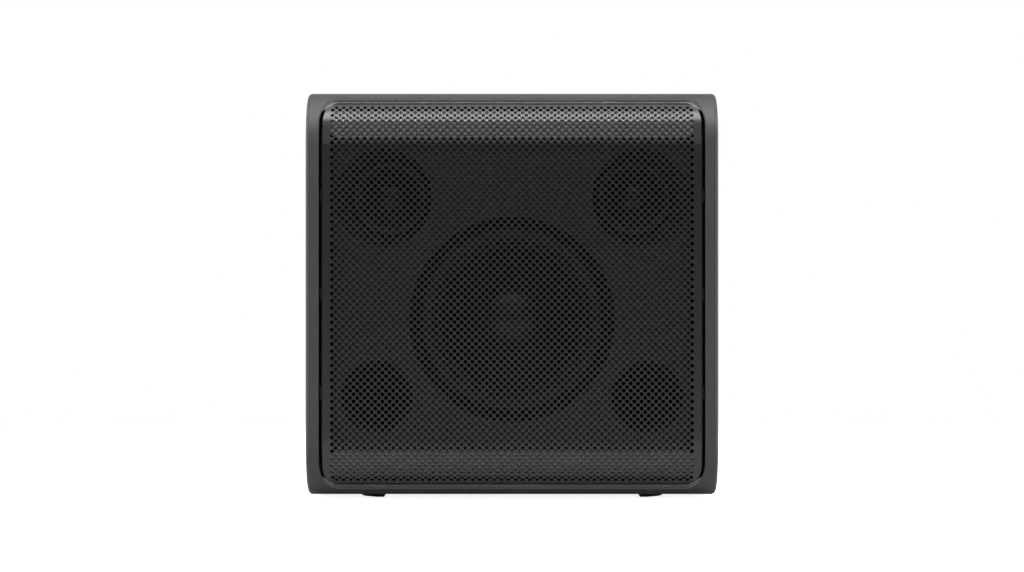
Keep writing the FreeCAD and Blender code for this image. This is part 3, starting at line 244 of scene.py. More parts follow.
def border_faces(points, quads, corner_at, inner_loop):
    """Fills the plain border between the field's zigzag edge and the sheet's rounded edge."""
    used = {}
    for a, b, _, _ in quads:
        used[frozenset((a, b))] = used.get(frozenset((a, b)), 0) + 1
    zigzag = [tuple(edge) for edge, times in used.items() if times == 1]
    ids = sorted({v for edge in zigzag for v in edge})
    local = {v: k for k, v in enumerate(ids)}
    coords = [points[v] for v in ids]
    edges = [(local[a], local[b]) for a, b in zigzag]
    base = len(coords)
    coords += [tuple(p) for p in inner_loop]
    count = len(inner_loop)
    edges += [(base + k, base + (k + 1) % count) for k in range(count)]
    row = LATTICE_UP + (ROWS + 2) * PITCH_S
    for side in (1, -1):
        s = row if side > 0 else 2 * LATTICE_UP - row
        while abs(s) < HALF_LENGTH - EDGE_ROUND - 1.0:
            reach = half_width(s) - EDGE_ROUND - 2.0
            number = int(2 * reach / PITCH_X)
            coords += [(-reach + 2 * reach * k / number, s) for k in range(number + 1)]
            s += side * PITCH_S
    placed = [Vector(p) for p in coords]
    found, _, faces, originals, _, _ = delaunay_2d_cdt(placed, edges, [], 0, 1e-6)
    index_of = []
    for k, at in enumerate(found):
        source = originals[k][0] if originals[k] else None
        if source is not None and source < base:
            index_of.append(ids[source])
        else:
            index_of.append(len(points))
            points.append((at.x, at.y))
    loop_ids = {}
    for k, source in enumerate(originals):
        for origin in source:
            if base <= origin < base + count:
                loop_ids[origin - base] = index_of[k]
    loop_array = np.array(inner_loop)
    triangles = []
    for face in faces:
        middle = sum((found[k] for k in face), Vector((0, 0))) / len(face)
        if in_lattice(middle.x, middle.y) or not inside_loop(middle.x, middle.y, loop_array):
            continue
        triangles.append(tuple(index_of[k] for k in face))
    return triangles, [loop_ids[k] for k in range(count)]


def inside_loop(x, s, loop):
    """True where (x, s) lies inside the closed loop, by counting the edges crossed."""
    following = np.roll(loop, -1, 0)
    crosses = (loop[:, 1] > s) != (following[:, 1] > s)
    rise = np.where(crosses, following[:, 1] - loop[:, 1], 1.0)
    at = loop[:, 0] + (s - loop[:, 1]) / rise * (following[:, 0] - loop[:, 0])
    return bool(np.sum(crosses & (at > x)) % 2)


def build_grille():
    """Two halves of one perforated sheet: front and back skins, hole walls and a rolled, returned edge."""
    points, quads, triangles, corner_at, leans = lattice_faces()
    outline, outward = grille_outline()
    inner = outline - outward * EDGE_ROUND
    border, loop = border_faces(points, quads, corner_at, inner)
    flat = np.array(points)
    front, normals = grille_place(flat[:, 0], flat[:, 1], 0.0)
    back, _ = grille_place(flat[:, 0], flat[:, 1], SHEET)
    shaded = rounded_rims(normals, flat[:, 1], leans)
    skins = quads + triangles + border
    middle_s = np.array([flat[list(face), 1].mean() for face in skins])
    halves = []
    for name, keep in (("grille_upper_half", middle_s >= 0), ("grille_lower_half", middle_s < 0)):
        chosen = [face for face, kept in zip(skins, keep) if kept]
        halves.append(grille_half(name, chosen, front, back, normals, shaded, flat, loop, outward))
    return halves


def rounded_rims(normals, s, leans):
    """Front normals that lean into each hole at its rim, as over the slight round the punch leaves."""
    tilt = grille_section(s)[2]
    along = np.stack([np.zeros_like(s), np.sin(tilt), np.cos(tilt)], -1)
    lean = np.zeros((len(s), 2))
    lean[list(leans)] = list(leans.values())
    shaded = normals + RIM_LEAN * (lean[:, :1] * np.array([1.0, 0.0, 0.0]) + lean[:, 1:] * along)
    return shaded / np.linalg.norm(shaded, axis=1)[:, None]


def rolled_edge(loop, flat, outward, normals):
    """Rows of points, with normals, that carry the sheet round its edge and back inside."""
    ids = np.array(loop)
    x, s = flat[ids, 0], flat[ids, 1]
    normal = normals[ids]
    tilt = grille_section(s)[2]
    along = np.stack([np.zeros_like(x), np.sin(np.abs(tilt)), np.cos(tilt)], -1)
    sign = np.where(s < 0, -1.0, 1.0)
    along[:, 1] *= sign
    side = np.array([1.0, 0.0, 0.0]) * outward[:, :1] + along * outward[:, 1:]
    share = np.clip((HALF_LENGTH - np.abs(s)) / RETURN_FADE, 0, 1)
    reach = (END_RETURN + (SIDE_RETURN - END_RETURN) * share)[:, None] * MM
    start = grille_place(x, s, 0.0)[0]
    centre = start - normal * EDGE_ROUND * MM
    rows = []
    for radius, inward in ((EDGE_ROUND, False), (EDGE_ROUND - SHEET, True)):
        for k in range(1, EDGE_STEPS + 1):
            turn = math.radians(90.0 * k / EDGE_STEPS)
            direction = normal * math.cos(turn) + side * math.sin(turn)
            rows.append((centre + direction * radius * MM, -direction if inward else direction))
        tail = centre + side * radius * MM - normal * reach
        rows.append((tail, -side if inward else side))
    return rows


def grille_half(name, faces, front, back, normals, shaded, flat, loop, outward):
    """One half as a solid sheet: both skins, a wall in each hole and the rolled edge along the outline."""
    used = sorted({v for face in faces for v in face})
    renumber = {v: k for k, v in enumerate(used)}
    size = len(used)
    vertices = [front[used], back[used]]
    loop_normals = []
    polygons = []
    for face in faces:
        polygons.append([renumber[v] for v in face])
        loop_normals.append(shaded[list(face)])
    for face in faces:
        turned = face[::-1]
        polygons.append([size + renumber[v] for v in turned])
        loop_normals.append(-normals[list(turned)])
    directed = dict.fromkeys((a, b) for face in faces for a, b in zip(face, face[1:] + face[:1]))
    on_loop = {v: k for k, v in enumerate(loop)}
    count = len(loop)
    rows = rolled_edge(loop, flat, outward, normals)
    row_base = 2 * size
    half_rows = EDGE_STEPS + 1
    loop_used = sorted({on_loop[v] for a, b in directed for v in (a, b) if v in on_loop})
    place_in_row = {k: n for n, k in enumerate(loop_used)}
    width = len(loop_used)
    for points, _ in rows:
        vertices.append(points[loop_used])

    def strip_vertex(row, k, inner):
        if row == 0:
            v = renumber[loop[k]]
            return (size + v, -normals[loop[k]]) if inner else (v, normals[loop[k]])
        number = (half_rows if inner else 0) + row - 1
        return row_base + number * width + place_in_row[k], rows[number][1][k]

    for a, b in list(directed):
        if (b, a) in directed:
            continue
        if a in on_loop and b in on_loop and (on_loop[b] - on_loop[a]) % count == 1:
            k, m = on_loop[a], on_loop[b]
            for inner in (False, True):
                for row in range(half_rows):
                    ring = [strip_vertex(row, k, inner), strip_vertex(row + 1, k, inner),
                            strip_vertex(row + 1, m, inner), strip_vertex(row, m, inner)]
                    ring = ring[::-1] if inner else ring
                    polygons.append([v for v, _ in ring])
                    loop_normals.append(np.array([n for _, n in ring]))
            ends = [strip_vertex(half_rows, k, False)[0], strip_vertex(half_rows, k, True)[0],
                    strip_vertex(half_rows, m, True)[0], strip_vertex(half_rows, m, False)[0]]
            polygons.append(ends)
            loop_normals.append(np.tile(-normals[loop[k]], (4, 1)))
            continue
        wall = [renumber[b], renumber[a], size + renumber[a], size + renumber[b]]
        polygons.append(wall)
        corners = [front[b], front[a], back[a], back[b]]
        flat_normal = np.cross(corners[1] - corners[0], corners[3] - corners[0])
        flat_normal = flat_normal / max(np.linalg.norm(flat_normal), 1e-12)
        loop_normals.append(np.tile(flat_normal, (4, 1)))
    piece = new_piece(name, np.concatenate(vertices), polygons)
    piece.data.normals_split_custom_set(np.concatenate(loop_normals).tolist())
    return piece


# ==== materials

class Graph:
    """Builds a material's nodes in a few words."""

    def __init__(self, name):
        self.material = bpy.data.materials.new(name)
        self.material.use_nodes = True
        self.tree = self.material.node_tree
        self.shader = self.tree.nodes["Principled BSDF"]
        self.place = self.node("ShaderNodeTexCoord").outputs["Object"]

    def node(self, kind, **inputs):
        made = self.tree.nodes.new(kind)
        for key, value in inputs.items():
            name = key.replace("_", " ")
            if name in made.inputs:
                self.feed(made.inputs[name], value)
            else:
                setattr(made, key, value)
        return made

    def feed(self, socket, value):
        if isinstance(value, bpy.types.NodeSocket):
            self.tree.links.new(value, socket)
        else:
            socket.default_value = value

    def set(self, **inputs):
        for key, value in inputs.items():
            self.feed(self.shader.inputs[key.replace("_", " ")], value)

    def noise(self, scale, detail=4.0, roughness=0.55, place=None, distortion=0.0):
        made = self.node("ShaderNodeTexNoise", Scale=scale, Detail=detail, Roughness=roughness,
                         Distortion=distortion)
        self.feed(made.inputs["Vector"], place or self.place)
        return made.outputs["Fac"]

    def cells(self, scale, feature="F1"):
        made = self.node("ShaderNodeTexVoronoi", Scale=scale)
        made.feature = feature
        self.feed(made.inputs["Vector"], self.place)
        return made.outputs["Distance"]

    def span(self, value, low, high, from_low=0.0, from_high=1.0):
        made = self.node("ShaderNodeMapRange")
        limits = {"From Min": from_low, "From Max": from_high, "To Min": low, "To Max": high}
        for key, number in limits.items():
            made.inputs[key].default_value = number
        self.feed(made.inputs["Value"], value)
        return made.outputs["Result"]

    def sums(self, operation, a, b):
        made = self.node("ShaderNodeMath")
        made.operation = operation
        self.feed(made.inputs[0], a)
        self.feed(made.inputs[1], b)
        return made.outputs[0]

    def ripple(self, value, pitch):
        return self.sums("SINE", self.sums("MULTIPLY", value, 2 * math.pi / pitch), 0.0)

    def mapped(self, scale, rotation=(0, 0, 0)):
        made = self.node("ShaderNodeMapping", Vector=self.place, Scale=scale, Rotation=rotation)
        return made.outputs["Vector"]

    def mix(self, share, a, b):
        made = self.node("ShaderNodeMix")
        made.data_type = "RGBA"
        self.feed(made.inputs["Factor"], share)
        self.feed(made.inputs[6], a)
        self.feed(made.inputs[7], b)
        return made.outputs[2]

    def bump(self, height, distance):
        made = self.node("ShaderNodeBump", Strength=1.0, Distance=distance)
        self.feed(made.inputs["Height"], height)
        return made.outputs["Normal"]

    def split(self, vector):
        made = self.node("ShaderNodeSeparateXYZ")
        self.feed(made.inputs[0], vector)
        return made.outputs


def grey(value, warmth=0.0):
    return (value * (1 + warmth), value, value * (1 - warmth), 1.0)


def moulded_plastic(name, colour, roughness, grain=1400.0, depth=0.03, dust=0.0, specular=0.5):
    """Spark-textured plastic: pitted grain, faint colour drift, smudges in the sheen and a little dust."""
    g = Graph(name)
    drift = g.noise(9.0, 3.0)
    smudge = g.noise(38.0, 6.0, 0.7)
    fine = g.noise(grain, 2.0)
    pits = g.cells(grain * 0.8)
    height = g.sums("ADD", fine, g.sums("MULTIPLY", pits, 0.6))
    base = g.mix(g.span(drift, 0.0, 1.0, 0.35, 0.65), grey(colour * 0.9), grey(colour * 1.1))
    speckle = g.mix(g.span(fine, 0.0, 0.35, 0.45, 0.7), base, grey(colour * 1.5))
    up = g.split(g.node("ShaderNodeNewGeometry").outputs["Normal"])[2]
    lying = g.sums("MULTIPLY", g.span(up, 0.0, dust, 0.6, 1.0), g.span(smudge, 0.2, 1.0, 0.4, 0.7))
    g.set(Base_Color=g.mix(lying, speckle, grey(0.2, 0.03)))
    g.set(Roughness=g.sums("ADD", g.span(smudge, roughness - 0.05, roughness + 0.06, 0.3, 0.7), lying))
    g.set(Normal=g.bump(height, depth * MM), Specular_IOR_Level=specular)
    return g.material


def powder_coat(name, colour, roughness, depth=0.02, grain=1900.0):
    """Powder-coated steel: a low orange-peel swell under a fine sandy grain."""
    g = Graph(name)
    swell = g.noise(420.0, 2.0)
    sand = g.noise(grain, 3.0, 0.7)
    drift = g.noise(14.0, 3.0)
    height = g.sums("ADD", g.sums("MULTIPLY", swell, 0.5), sand)
    g.set(Base_Color=g.mix(g.span(drift, 0, 1, 0.35, 0.65), grey(colour * 0.92), grey(colour * 1.08)))
    g.set(Roughness=g.span(sand, roughness - 0.06, roughness + 0.06, 0.3, 0.7))
    g.set(Normal=g.bump(height, depth * MM))
    return g.material


def grille_coat():
    """Black powder coat on punched steel; bare bright specks show only in the deepest of the sandy grain."""
    g = Graph("grille_coat")
    sand = g.noise(2600.0, 2.0, 0.7)
    drift = g.noise(11.0, 3.0)
    base = g.mix(g.span(drift, 0, 1, 0.35, 0.65), grey(GRILLE_TONE * 0.94), grey(GRILLE_TONE * 1.06))
    g.set(Base_Color=g.mix(g.span(sand, 0, 0.5, 0.62, 0.75), base, grey(GRILLE_TONE * 1.8)))
    g.set(Roughness=g.span(sand, GRILLE_SHEEN - 0.05, GRILLE_SHEEN + 0.05, 0.3, 0.7))
    g.set(Normal=g.bump(sand, 0.012 * MM), Specular_IOR_Level=0.62)
    return g.material


def rubber(name, colour=0.012, roughness=0.5, axis=None, rim=0.0):
    """Moulded rubber: a satin skin with faint grey bloom and fine pores; past the rim, painted shade of the
    recess makes it near black and dull.
    """
    g = Graph(name)
    bloom = g.noise(55.0, 5.0, 0.65)
    pores = g.cells(2600.0)
    skin = g.mix(g.span(bloom, 0, 0.6, 0.5, 0.8), grey(colour), grey(colour * 2.6, 0.02))
    if axis:
        # painted shade: beyond the rim radius the colour falls to near black and the specular level drops,
        # standing in for the shadow in the driver's recess
        recess_shade = g.span(polar(g, *axis)[0], 0, 1, (rim - 2.0) * MM, (rim + 0.5) * MM)
        skin = g.mix(recess_shade, skin, grey(0.002))
        g.set(Specular_IOR_Level=g.span(recess_shade, 0.45, 0.12))
    g.set(Base_Color=skin)
    g.set(Roughness=g.span(bloom, roughness - 0.06, roughness + 0.12, 0.3, 0.75))
    g.set(Normal=g.bump(g.sums("ADD", pores, g.noise(900.0)), 0.012 * MM))
    return g.material


def polar(g, axis_x, axis_z):
    """Radius from a turned part's axis and angle round it, from the object's own coordinates."""
    parts = g.split(g.place)
    dx = g.sums("SUBTRACT", parts[0], axis_x)
    dz = g.sums("SUBTRACT", parts[2], axis_z)
    radius = g.sums("SQRT", g.sums("ADD", g.sums("MULTIPLY", dx, dx), g.sums("MULTIPLY", dz, dz)), 0.0)
    return radius, g.sums("ARCTAN2", dz, dx)


def cone_pulp(name, colour):
    """Black felted paper: short fibres lying every way over a soft lumpy pulp."""
    g = Graph(name)
    stretched = []
    for turn in (0.2, 1.3, 2.4):
        lie = g.mapped((1.0, 1.0, 0.12), (turn, turn * 1.7, turn * 0.6))
        stretched.append(g.noise(2400.0, 2.0, 0.6, lie))
    fibres = g.sums("MAXIMUM", g.sums("MAXIMUM", stretched[0], stretched[1]), stretched[2])
    pulp = g.noise(260.0, 4.0)
    tone = g.mix(g.span(pulp, 0, 1, 0.3, 0.7), grey(colour * 0.8), grey(colour * 1.25))
    g.set(Base_Color=g.mix(g.span(fibres, 0, 0.7, 0.62, 0.78), tone, grey(colour * 3.2, 0.04)))
    g.set(Roughness=g.span(pulp, 0.48, 0.66, 0.3, 0.7), Specular_IOR_Level=0.12)
    g.set(Normal=g.bump(g.sums("ADD", fibres, g.sums("MULTIPLY", pulp, 1.5)), 0.04 * MM))
    return g.material


def glossy_cap():
    """Pressed polypropylene: nearly smooth, with a faint haze and hairline handling scratches."""
    g = Graph("cap_plastic")
    haze = g.noise(120.0, 5.0, 0.6)
    scratch = g.noise(900.0, 2.0, 0.8, distortion=2.0)
    g.set(Base_Color=g.mix(haze, grey(0.003), grey(0.007)))
    g.set(Roughness=g.sums("ADD", g.span(haze, 0.24, 0.36, 0.3, 0.7), g.span(scratch, 0, 0.12, 0.6, 0.7)))
    g.set(Normal=g.bump(g.sums("ADD", haze, scratch), 0.006 * MM), Specular_IOR_Level=0.3)
    return g.material


def spider_weave(axis_x, axis_z):
    """Resin-stiffened cotton: threads cross along and round the disc and darken where the resin pooled."""
    g = Graph("spider_weave")
    parts = g.split(g.place)
    warp = g.ripple(parts[0], 0.55 * MM)
    weft = g.ripple(parts[2], 0.55 * MM)
    weave = g.span(g.sums("MULTIPLY", warp, weft), 0, 1, -1, 1)
    radius, _ = polar(g, axis_x, axis_z)
    pooled = g.span(g.sums("ADD", g.noise(60.0, 4.0), g.sums("MULTIPLY", radius, 4.0)), 0, 1, 0.45, 0.8)
    cotton = g.mix(pooled, (0.46, 0.27, 0.08, 1), (0.30, 0.14, 0.035, 1))
    g.set(Base_Color=g.mix(g.span(weave, 0, 0.5), cotton, (0.12, 0.06, 0.02, 1)))
    g.set(Roughness=g.span(weave, 0.55, 0.8), Normal=g.bump(weave, 0.12 * MM))
    return g.material


def foam_cells():
    """Closed-cell foam: two sizes of bubble in a matt black skin."""
    g = Graph("foam_cells")
    cells = g.cells(1500.0)
    coarse = g.cells(700.0)
    height = g.sums("ADD", cells, coarse)
    g.set(Base_Color=g.mix(g.span(height, 0, 1, 0.3, 1.1), grey(0.006), grey(0.035)))
    g.set(Roughness=0.9, Normal=g.bump(height, 0.25 * MM), Specular_IOR_Level=0.2)
    return g.material


def plated_steel():
    """Zinc-plated steel: a bright metal with a spangled finish and a dull film in random patches."""
    g = Graph("plated_steel")
    spangle = g.cells(260.0)
    film = g.noise(70.0, 5.0)
    g.set(Base_Color=g.mix(g.span(film, 0, 1, 0.35, 0.7), (0.52, 0.52, 0.5, 1), (0.36, 0.35, 0.31, 1)))
    g.set(Metallic=1.0, Roughness=g.sums("ADD", g.span(spangle, 0.22, 0.4), g.span(film, 0, 0.15)))
    g.set(Normal=g.bump(g.noise(1500.0), 0.01 * MM))
    return g.material


def ferrite_ceramic():
    """Ground ferrite: a grey gritty surface with small chips."""
    g = Graph("ferrite_ceramic")
    grain = g.noise(1700.0, 5.0, 0.75)
    chips = g.span(g.cells(130.0), 1, 0, 0.02, 0.12)
    g.set(Base_Color=g.mix(grain, grey(0.02), grey(0.06)), Roughness=g.span(grain, 0.45, 0.7))
    g.set(Normal=g.bump(g.sums("ADD", grain, chips), 0.05 * MM))
    return g.material


def copper_winding():
    """Enamelled wire wound side by side; each turn is a shallow ridge round the former."""
    g = Graph("copper_winding")
    along = g.split(g.place)[1]
    turns = g.span(g.ripple(along, 0.28 * MM), 0, 1, -1, 1)
    tint = g.noise(90.0, 4.0)
    g.set(Base_Color=g.mix(tint, (0.62, 0.22, 0.07, 1), (0.42, 0.12, 0.04, 1)), Metallic=0.85)
    g.set(Roughness=g.span(turns, 0.25, 0.5), Normal=g.bump(turns, 0.06 * MM), Coat_Weight=0.4)
    return g.material


def black_oxide():
    """Blackened steel screws, rubbed bright in specks."""
    g = Graph("black_oxide")
    film = g.noise(900.0, 4.0)
    rub = g.span(g.noise(2500.0, 2.0), 0, 1, 0.62, 0.7)
    g.set(Base_Color=g.mix(rub, grey(0.035), grey(0.16)), Metallic=0.9, Roughness=g.span(film, 0.28, 0.5))
    g.set(Normal=g.bump(film, 0.01 * MM))
    return g.material


def milky_diffuser(name, gloss):
    """Smoked light-bar plastic with a ghost of the lamps' pitch behind it; gloss adds a clear coat."""
    g = Graph(name)
    cloud = g.noise(24.0, 3.0)
    fine = g.noise(1500.0, 2.0)
    along = g.split(g.place)[0]
    lamps = g.span(g.sums("COSINE", g.sums("MULTIPLY", along, 2 * math.pi / (10.8 * MM)), 0.0), 0, 1, -1, 1)
    tone = g.mix(cloud, grey(DIFFUSER_TONE * 0.95), grey(DIFFUSER_TONE * 1.05))
    g.set(Base_Color=g.mix(g.span(lamps, 0, 0.06), tone, grey(DIFFUSER_TONE * 1.5)))
    g.set(Roughness=g.span(fine, DIFFUSER_SHEEN - 0.04, DIFFUSER_SHEEN + 0.04, 0.3, 0.7))
    g.set(Normal=g.bump(fine, 0.004 * MM), Specular_IOR_Level=0.4 + 0.6 * gloss)
    g.set(Coat_Weight=gloss, Coat_Roughness=0.2, Coat_IOR=1.8)
    return g.material


def solder_mask():
    """A circuit board: green mask over etched tracks, with a scatter of bright pads."""
    g = Graph("solder_mask")
    brick = g.node("ShaderNodeTexBrick", Scale=120.0)
    g.feed(brick.inputs["Vector"], g.place)
    brick.inputs["Mortar Size"].default_value = 0.03
    tracks = g.sums("MAXIMUM", brick.outputs["Fac"], g.span(g.cells(220.0, feature="F2"), 0, 1, 0.55, 0.6))
    pads = g.span(g.cells(330.0), 1, 0, 0.1, 0.13)
    mask = g.mix(g.span(tracks, 0, 0.8), (0.01, 0.075, 0.03, 1), (0.02, 0.15, 0.05, 1))
    g.set(Base_Color=g.mix(pads, mask, (0.6, 0.58, 0.5, 1)), Metallic=pads)
    g.set(Roughness=g.span(g.noise(300.0), 0.25, 0.4), Normal=g.bump(g.sums("ADD", tracks, pads), 0.04 * MM))
    return g.material


def drawn_metal(name, colour, roughness=0.34):
    """Extruded, anodised aluminium with fine lines along its length."""
    g = Graph(name)
    lines = g.noise(2600.0, 3.0, 0.7, g.mapped((0.02, 1.0, 1.0)))
    g.set(Base_Color=g.mix(lines, grey(colour * 0.8), grey(colour * 1.3)), Metallic=0.8)
    g.set(Roughness=g.span(lines, roughness - 0.08, roughness + 0.12, 0.3, 0.7))
    g.set(Normal=g.bump(lines, 0.02 * MM))
    return g.material


def wire_sheath():
    """Soft PVC insulation, black and red by position, with slight scuffs."""
    g = Graph("wire_sheath")
    parts = g.split(g.place)
    weave = g.sums("SINE", g.sums("MULTIPLY", g.sums("ADD", parts[0], parts[2]), 500.0), 0.0)
    red = g.span(weave, 0, 1, 0.2, 0.35)
    scuff = g.noise(600.0, 4.0)
    g.set(Base_Color=g.mix(red, (0.012, 0.012, 0.013, 1), (0.32, 0.015, 0.012, 1)))
    g.set(Roughness=g.span(scuff, 0.3, 0.5), Normal=g.bump(scuff, 0.02 * MM))
    return g.material


def button_skin():
    """Silicone button tops; whatever stands proud of the cap carries light grey ink worn at its edges."""
    g = Graph("button_skin")
    height = g.split(g.place)[2]
    wear = g.noise(1800.0, 3.0)
    level = g.sums("ADD", height, g.sums("MULTIPLY", wear, 0.00004))
    ink = g.span(level, 0, 1, BUTTON_FACE + 0.00012, BUTTON_FACE + 0.00022)
    g.set(Base_Color=g.mix(ink, g.mix(wear, grey(0.017), grey(0.026)), grey(0.55)))
    g.set(Roughness=g.span(wear, 0.5, 0.68, 0.3, 0.7), Normal=g.bump(g.noise(3000.0), 0.01 * MM))
    return g.material


def knob_skin():
    """Soft-touch knob plastic with a white-filled pointer groove."""
    g = Graph("knob_skin")
    depth = g.split(g.place)[1]
    inside = g.span(depth, 1, 0, KNOB_FACE - 0.0009, KNOB_FACE - 0.0006)
    outside = g.span(depth, 0, 1, KNOB_FACE - 0.0002, KNOB_FACE - 0.0001)
    facing = g.split(g.node("ShaderNodeNewGeometry").outputs["Normal"])[1]
    floor_of_groove = g.sums("MULTIPLY", g.sums("SUBTRACT", 1.0, g.sums("MAXIMUM", inside, outside)),
                             g.span(facing, 0, 1, 0.9, 0.97))
    rub = g.noise(500.0, 4.0)
    g.set(Base_Color=g.mix(floor_of_groove, g.mix(rub, grey(0.014), grey(0.024)), grey(0.7)))
    g.set(Roughness=g.span(rub, 0.38, 0.55, 0.3, 0.7), Normal=g.bump(g.noise(2600.0), 0.01 * MM))
    return g.material


# ==== tones and where they are used

GRILLE_TONE = 0.005
GRILLE_SHEEN = 0.31
DIFFUSER_TONE = 0.20
DIFFUSER_SHEEN = 0.22
SHELL_TONE = 0.028
BUTTON_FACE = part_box("button_power")[1].z - 0.0004
KNOB_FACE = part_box("gain_knob")[1].y


def axis_of(node):
    low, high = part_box(node)
    return (low.x + high.x) / 2, (low.z + high.z) / 2


def assign(material, *names):
    for name in names:
        for held in nodes[name].material_slots:
            held.material = material


shell_skin = moulded_plastic("shell_skin", SHELL_TONE, 0.57, grain=1500.0, depth=0.035, dust=0.04)
inner_skin = moulded_plastic("inner_skin", 0.010, 0.5, grain=1100.0, depth=0.03)
baffle_skin = moulded_plastic("baffle_skin", 0.016, 0.5, grain=1100.0, depth=0.03)
smooth_skin = moulded_plastic("smooth_skin", 0.016, 0.36, grain=2400.0, depth=0.012)
panel_skin = moulded_plastic("panel_skin", 0.018, 0.4, grain=2200.0, depth=0.015, dust=0.03)
painted_steel = powder_coat("painted_steel", 0.006, 0.5)
plate_coat = powder_coat("plate_coat", 0.021, 0.5, depth=0.035, grain=1300.0)
foam_skin = foam_cells()
woofer_pulp = cone_pulp("woofer_pulp", 0.0015)
mid_pulp = cone_pulp("mid_pulp", 0.0015)

assign(shell_skin, "outer_shell", "rear_cover")
assign(baffle_skin, "front_baffle")
assign(inner_skin, "mid_left_chamber", "mid_right_chamber", "port_tube_left",
       "port_tube_right", "grille_clips")
assign(panel_skin, "control_panel")
assign(button_skin(), "button_power", "button_pairing", "button_volume_down", "button_volume_up",
       "button_light")
assign(rubber("foot_rubber", 0.003, 0.7), "rubber_feet")
assign(foam_skin, "baffle_gasket", "rear_gasket", "woofer_gasket")
assign(painted_steel, "woofer_basket", "mid_left_frame", "mid_right_frame")
assign(plated_steel(), "woofer_top_plate", "woofer_pole_plate", "mid_left_magnet", "mid_right_magnet",
       "transformer", "control_pots")
assign(ferrite_ceramic(), "woofer_magnet")
assign(copper_winding(), "woofer_voice_coil", "mid_left_voice_coil", "mid_right_voice_coil")
assign(woofer_pulp, "woofer_cone")
assign(mid_pulp, "mid_left_cone", "mid_right_cone")
assign(glossy_cap(), "woofer_dust_cap", "mid_left_dust_cap", "mid_right_dust_cap")
assign(black_oxide(), "driver_screws", "cabinet_screws")
assign(milky_diffuser("upper_diffuser", 1.0), "upper_light_diffuser")
assign(milky_diffuser("lower_diffuser", 0.0), "lower_light_diffuser")
assign(solder_mask(), "upper_led_board", "lower_led_board", "main_board", "power_board", "button_board")
assign(drawn_metal("black_anodised", 0.03), "heat_sink")
assign(wire_sheath(), "wiring_harness")
assign(plate_coat, "amp_plate")
assign(knob_skin(), "gain_knob", "tone_knob")
assign(smooth_skin, "power_rocker", "power_switch_body", "line_in_jack", "mains_inlet")


# ==== the grille in place

coat = grille_coat()
for half in build_grille():
    half.data.materials.append(coat)
    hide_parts("front_grille")
    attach(half, "cabinet")


# ==== surrounds and spider, which bend between the frame and the cone


def bend_between(piece):
    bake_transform(piece)


def half_roll(node, roll_in, roll_out, thickness, bead, segments, tone, sheen):
    """A half-roll surround with a bead moulded round the glued outer landing."""
    low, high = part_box(node)
    mid_x, mid_z = axis_of(node)
    seat, crest_y, rim = high.y / MM, low.y / MM, (high.x - low.x) / 2 / MM
    front = seat - thickness
    height = front - crest_y
    crest, half = (roll_in + roll_out) / 2, (roll_out - roll_in) / 2
    sphere = (half * half + height * height) / (2 * height)
    centre_y = crest_y + sphere
    reach = math.degrees(math.asin(half / sphere))
    outer = arc_points((crest, centre_y), sphere, -90 - reach, -90 + reach, 28)
    inner_radius = sphere - thickness
    inner_reach = math.degrees(math.acos(max(-1.0, min(1.0, (centre_y - seat) / inner_radius))))
    inside = arc_points((crest, centre_y), inner_radius, -90 + inner_reach, -90 - inner_reach, 28)
    landing_in = roll_in - bead * 1.2
    section = [(landing_in, front + 0.12), (landing_in + 0.3, front)] + outer
    section += [(roll_out + bead * 0.5, front), (roll_out + bead * 0.8, front - bead * 0.25),
                (roll_out + bead * 1.4, front - bead * 0.25), (roll_out + bead * 1.7, front)]
    section += [(rim - 0.3, front), (rim, front + 0.15), (rim, seat)] + inside + [(landing_in, seat)]
    piece = lathe(node + "_rubber", section, mid_x, mid_z, segments)
    # the painted recess shade starts at this radius across the roll
    shade_from = roll_in + (roll_out - roll_in) * RECESS_SHADE_SHARE
    piece.data.materials.append(rubber(node + "_skin", tone, sheen, (mid_x, mid_z), shade_from))
    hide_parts(node)
    bend_between(piece)


# share of the roll's width at which the painted recess shade begins
RECESS_SHADE_SHARE = 0.8
half_roll("woofer_surround", 57.5, 72.5, 0.6, 1.4, 192, 0.0022, 0.6)
for side in ("left", "right"):
    half_roll("mid_%s_surround" % side, 24.0, 29.3, 0.4, 0.7, 128, 0.006, 0.5)


def spider_disc():
    """The woofer's spider: corrugated cloth whose waves shrink towards both glued landings."""
    low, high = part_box("woofer_spider")
    mid_x, mid_z = axis_of("woofer_spider")
    inner, outer, landing, thickness = 16.3, (high.x - low.x) / 2 / MM, 5.0, 0.5
    middle = (low.y + high.y) / 2 / MM
    start, end = inner + landing, outer - landing
    samples = 96
    front, back = [], []
    for index in range(samples + 1):
        r = start + (end - start) * index / samples
        share = index / samples
        fade = min(1.0, 6 * share, 6 * (1 - share))
        wave = 1.2 * fade * math.sin(2 * math.pi * 3 * share)
        front.append((r, middle + wave - thickness / 2))
        back.append((r, middle + wave + thickness / 2))
    section = [(inner, middle - thickness / 2)] + front + [(outer, middle - thickness / 2)]
    section += [(outer, middle + thickness / 2)] + back[::-1] + [(inner, middle + thickness / 2)]
    piece = lathe("woofer_spider_cloth", section, mid_x, mid_z, 160, 60)
    piece.data.materials.append(spider_weave(mid_x, mid_z))
    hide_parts("woofer_spider")
    bend_between(piece)


spider_disc()


# ==== the bead on the lip of the front opening and the seal between it and the grille

LIP_X = 146.6
LIP_Z = 149.0
LIP_CORNER_X = 14.0
LIP_CORNER_Z = 21.0
LIP_FROM = 15.0
LIP_SWELL_FROM = 18.0
LIP_SWELL_OVER = 48.0
LIP_THINNEST = 0.04
FRONT_ROUND = 38.0
SECTION_SIDES = 16
LIP_STEPS = 40


def skin_behind(z):
    """How far the shell's rounded front lies behind its foremost plane at height z from the middle."""
    past = abs(z) - ((shell_high.z - shell_low.z) / 2 / MM - FRONT_ROUND)
    return FRONT_ROUND - math.sqrt(FRONT_ROUND ** 2 - past ** 2) if past > 0 else 0.0


